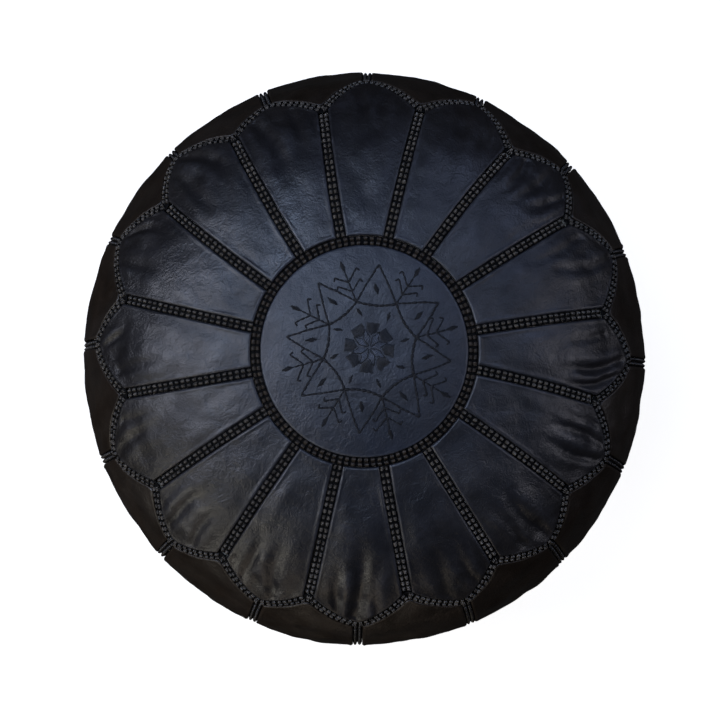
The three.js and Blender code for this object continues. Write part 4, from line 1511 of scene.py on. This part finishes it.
# Soft lights: place, size, power and tint.
LIGHTS = {
    "left": ((-1.63, 0.0, 1.83), 1.0, 25.0, (0.82, 0.85, 1.0)),
    "sky": ((-0.61, 0.61, 2.33), 0.9, 20.0, (0.54, 0.69, 1.0)),
    "low_left": ((-1.4, -1.4, 1.05), 0.9, 10.0, (1.0, 0.94, 0.80)),
    "low_right": ((1.85, 0.0, 1.25), 0.9, 7.0, (0.91, 0.89, 1.0)),
    "far_right": ((1.15, 1.15, 1.83), 1.0, 8.0, (0.50, 0.62, 1.0)),
    "low_front": ((-0.3, -2.3, 0.3), 1.0, 3.5, (1.0, 0.84, 0.66)),
}
WORLD_COLOUR = (0.90, 0.94, 1.0, 1.0)
WORLD_STRENGTH = 0.02
FLOOR_RADIUS = 5.0
WALL_RADIUS = 6.0
WALL_HEIGHT = 8.0
FLOOR_SIDES = 96
COVE_STEPS = 9


def add_object(name, data):
    added = bpy.data.objects.new(name, data)
    scene.collection.objects.link(added)
    return added


def add_camera():
    """Straight down over the crown, but for a small tilt, turn and roll."""
    data = bpy.data.cameras.new("camera")
    data.sensor_width = 36.0
    data.lens = FOCAL_PIXELS * data.sensor_width / IMAGE_SIZE
    data.clip_start = 0.05
    data.clip_end = 50
    data.shift_x, data.shift_y = (pixels / IMAGE_SIZE for pixels in SHIFT_PIXELS)
    back = Vector((
        math.sin(CAMERA_TURN) * math.sin(CAMERA_TILT),
        -math.cos(CAMERA_TURN) * math.sin(CAMERA_TILT),
        math.cos(CAMERA_TILT),
    ))
    right = (-back).cross(Vector((0, 1, 0))).normalized()
    upward = right.cross(-back)
    turned_right = right * math.cos(CAMERA_ROLL) + upward * math.sin(CAMERA_ROLL)
    turned_up = upward * math.cos(CAMERA_ROLL) - right * math.sin(CAMERA_ROLL)
    pose = Matrix((turned_right, turned_up, back)).transposed().to_4x4()
    pose.translation = Vector((0, 0, WIDEST_Z)) + back * CAMERA_DISTANCE
    camera = add_object("camera", data)
    camera.matrix_world = pose
    scene.camera = camera


def add_light(name, place, size, power, tint):
    data = bpy.data.lights.new(name, "AREA")
    data.shape = "SQUARE"
    data.size = size
    data.energy = power
    data.color = tint
    lamp = add_object(name, data)
    lamp.location = place
    lamp.rotation_euler = (CENTRE - Vector(place)).to_track_quat("-Z", "Y").to_euler()


def add_world():
    world = bpy.data.worlds.new("studio")
    world.use_nodes = True
    background = world.node_tree.nodes["Background"]
    background.inputs["Color"].default_value = WORLD_COLOUR
    background.inputs["Strength"].default_value = WORLD_STRENGTH
    scene.world = world


def add_floor():
    """A pale floor that curves up into a plain wall far away, like a studio's paper backdrop."""
    cove = np.linspace(0, math.pi / 2, COVE_STEPS)
    cove_radius = WALL_RADIUS - FLOOR_RADIUS
    radii = np.append(FLOOR_RADIUS + cove_radius * np.sin(cove), WALL_RADIUS)
    heights = np.append(cove_radius * (1 - np.cos(cove)), WALL_HEIGHT)
    turn = full_turn(FLOOR_SIDES)[:, None]
    points = np.stack([radii * np.cos(turn), radii * np.sin(turn), heights + 0 * turn], -1)
    rows = len(radii)
    faces = grid_faces(FLOOR_SIDES, rows - 1, wrap=True).tolist()
    faces.append([n * rows for n in range(FLOOR_SIDES)])
    mesh = bpy.data.meshes.new("floor")
    mesh.from_pydata(points.reshape(-1, 3).tolist(), [], faces)
    paint = Paint("floor_paint")
    paint.set(
        Base_Color=(0.45, 0.45, 0.45, 1.0), Roughness=0.95, Specular_IOR_Level=0.0,
        Emission_Color=(1.0, 1.0, 1.0, 1.0), Emission_Strength=0.88,
    )
    mesh.materials.append(paint.material)
    floor = add_object("floor", mesh)
    floor.visible_glossy = False
    floor.visible_diffuse = False


add_camera()
for light_name, light in LIGHTS.items():
    add_light(light_name, *light)
add_world()
add_floor()
scene.view_settings.view_transform = "Standard"
scene.view_settings.look = "None"
scene.view_settings.exposure = 0.0
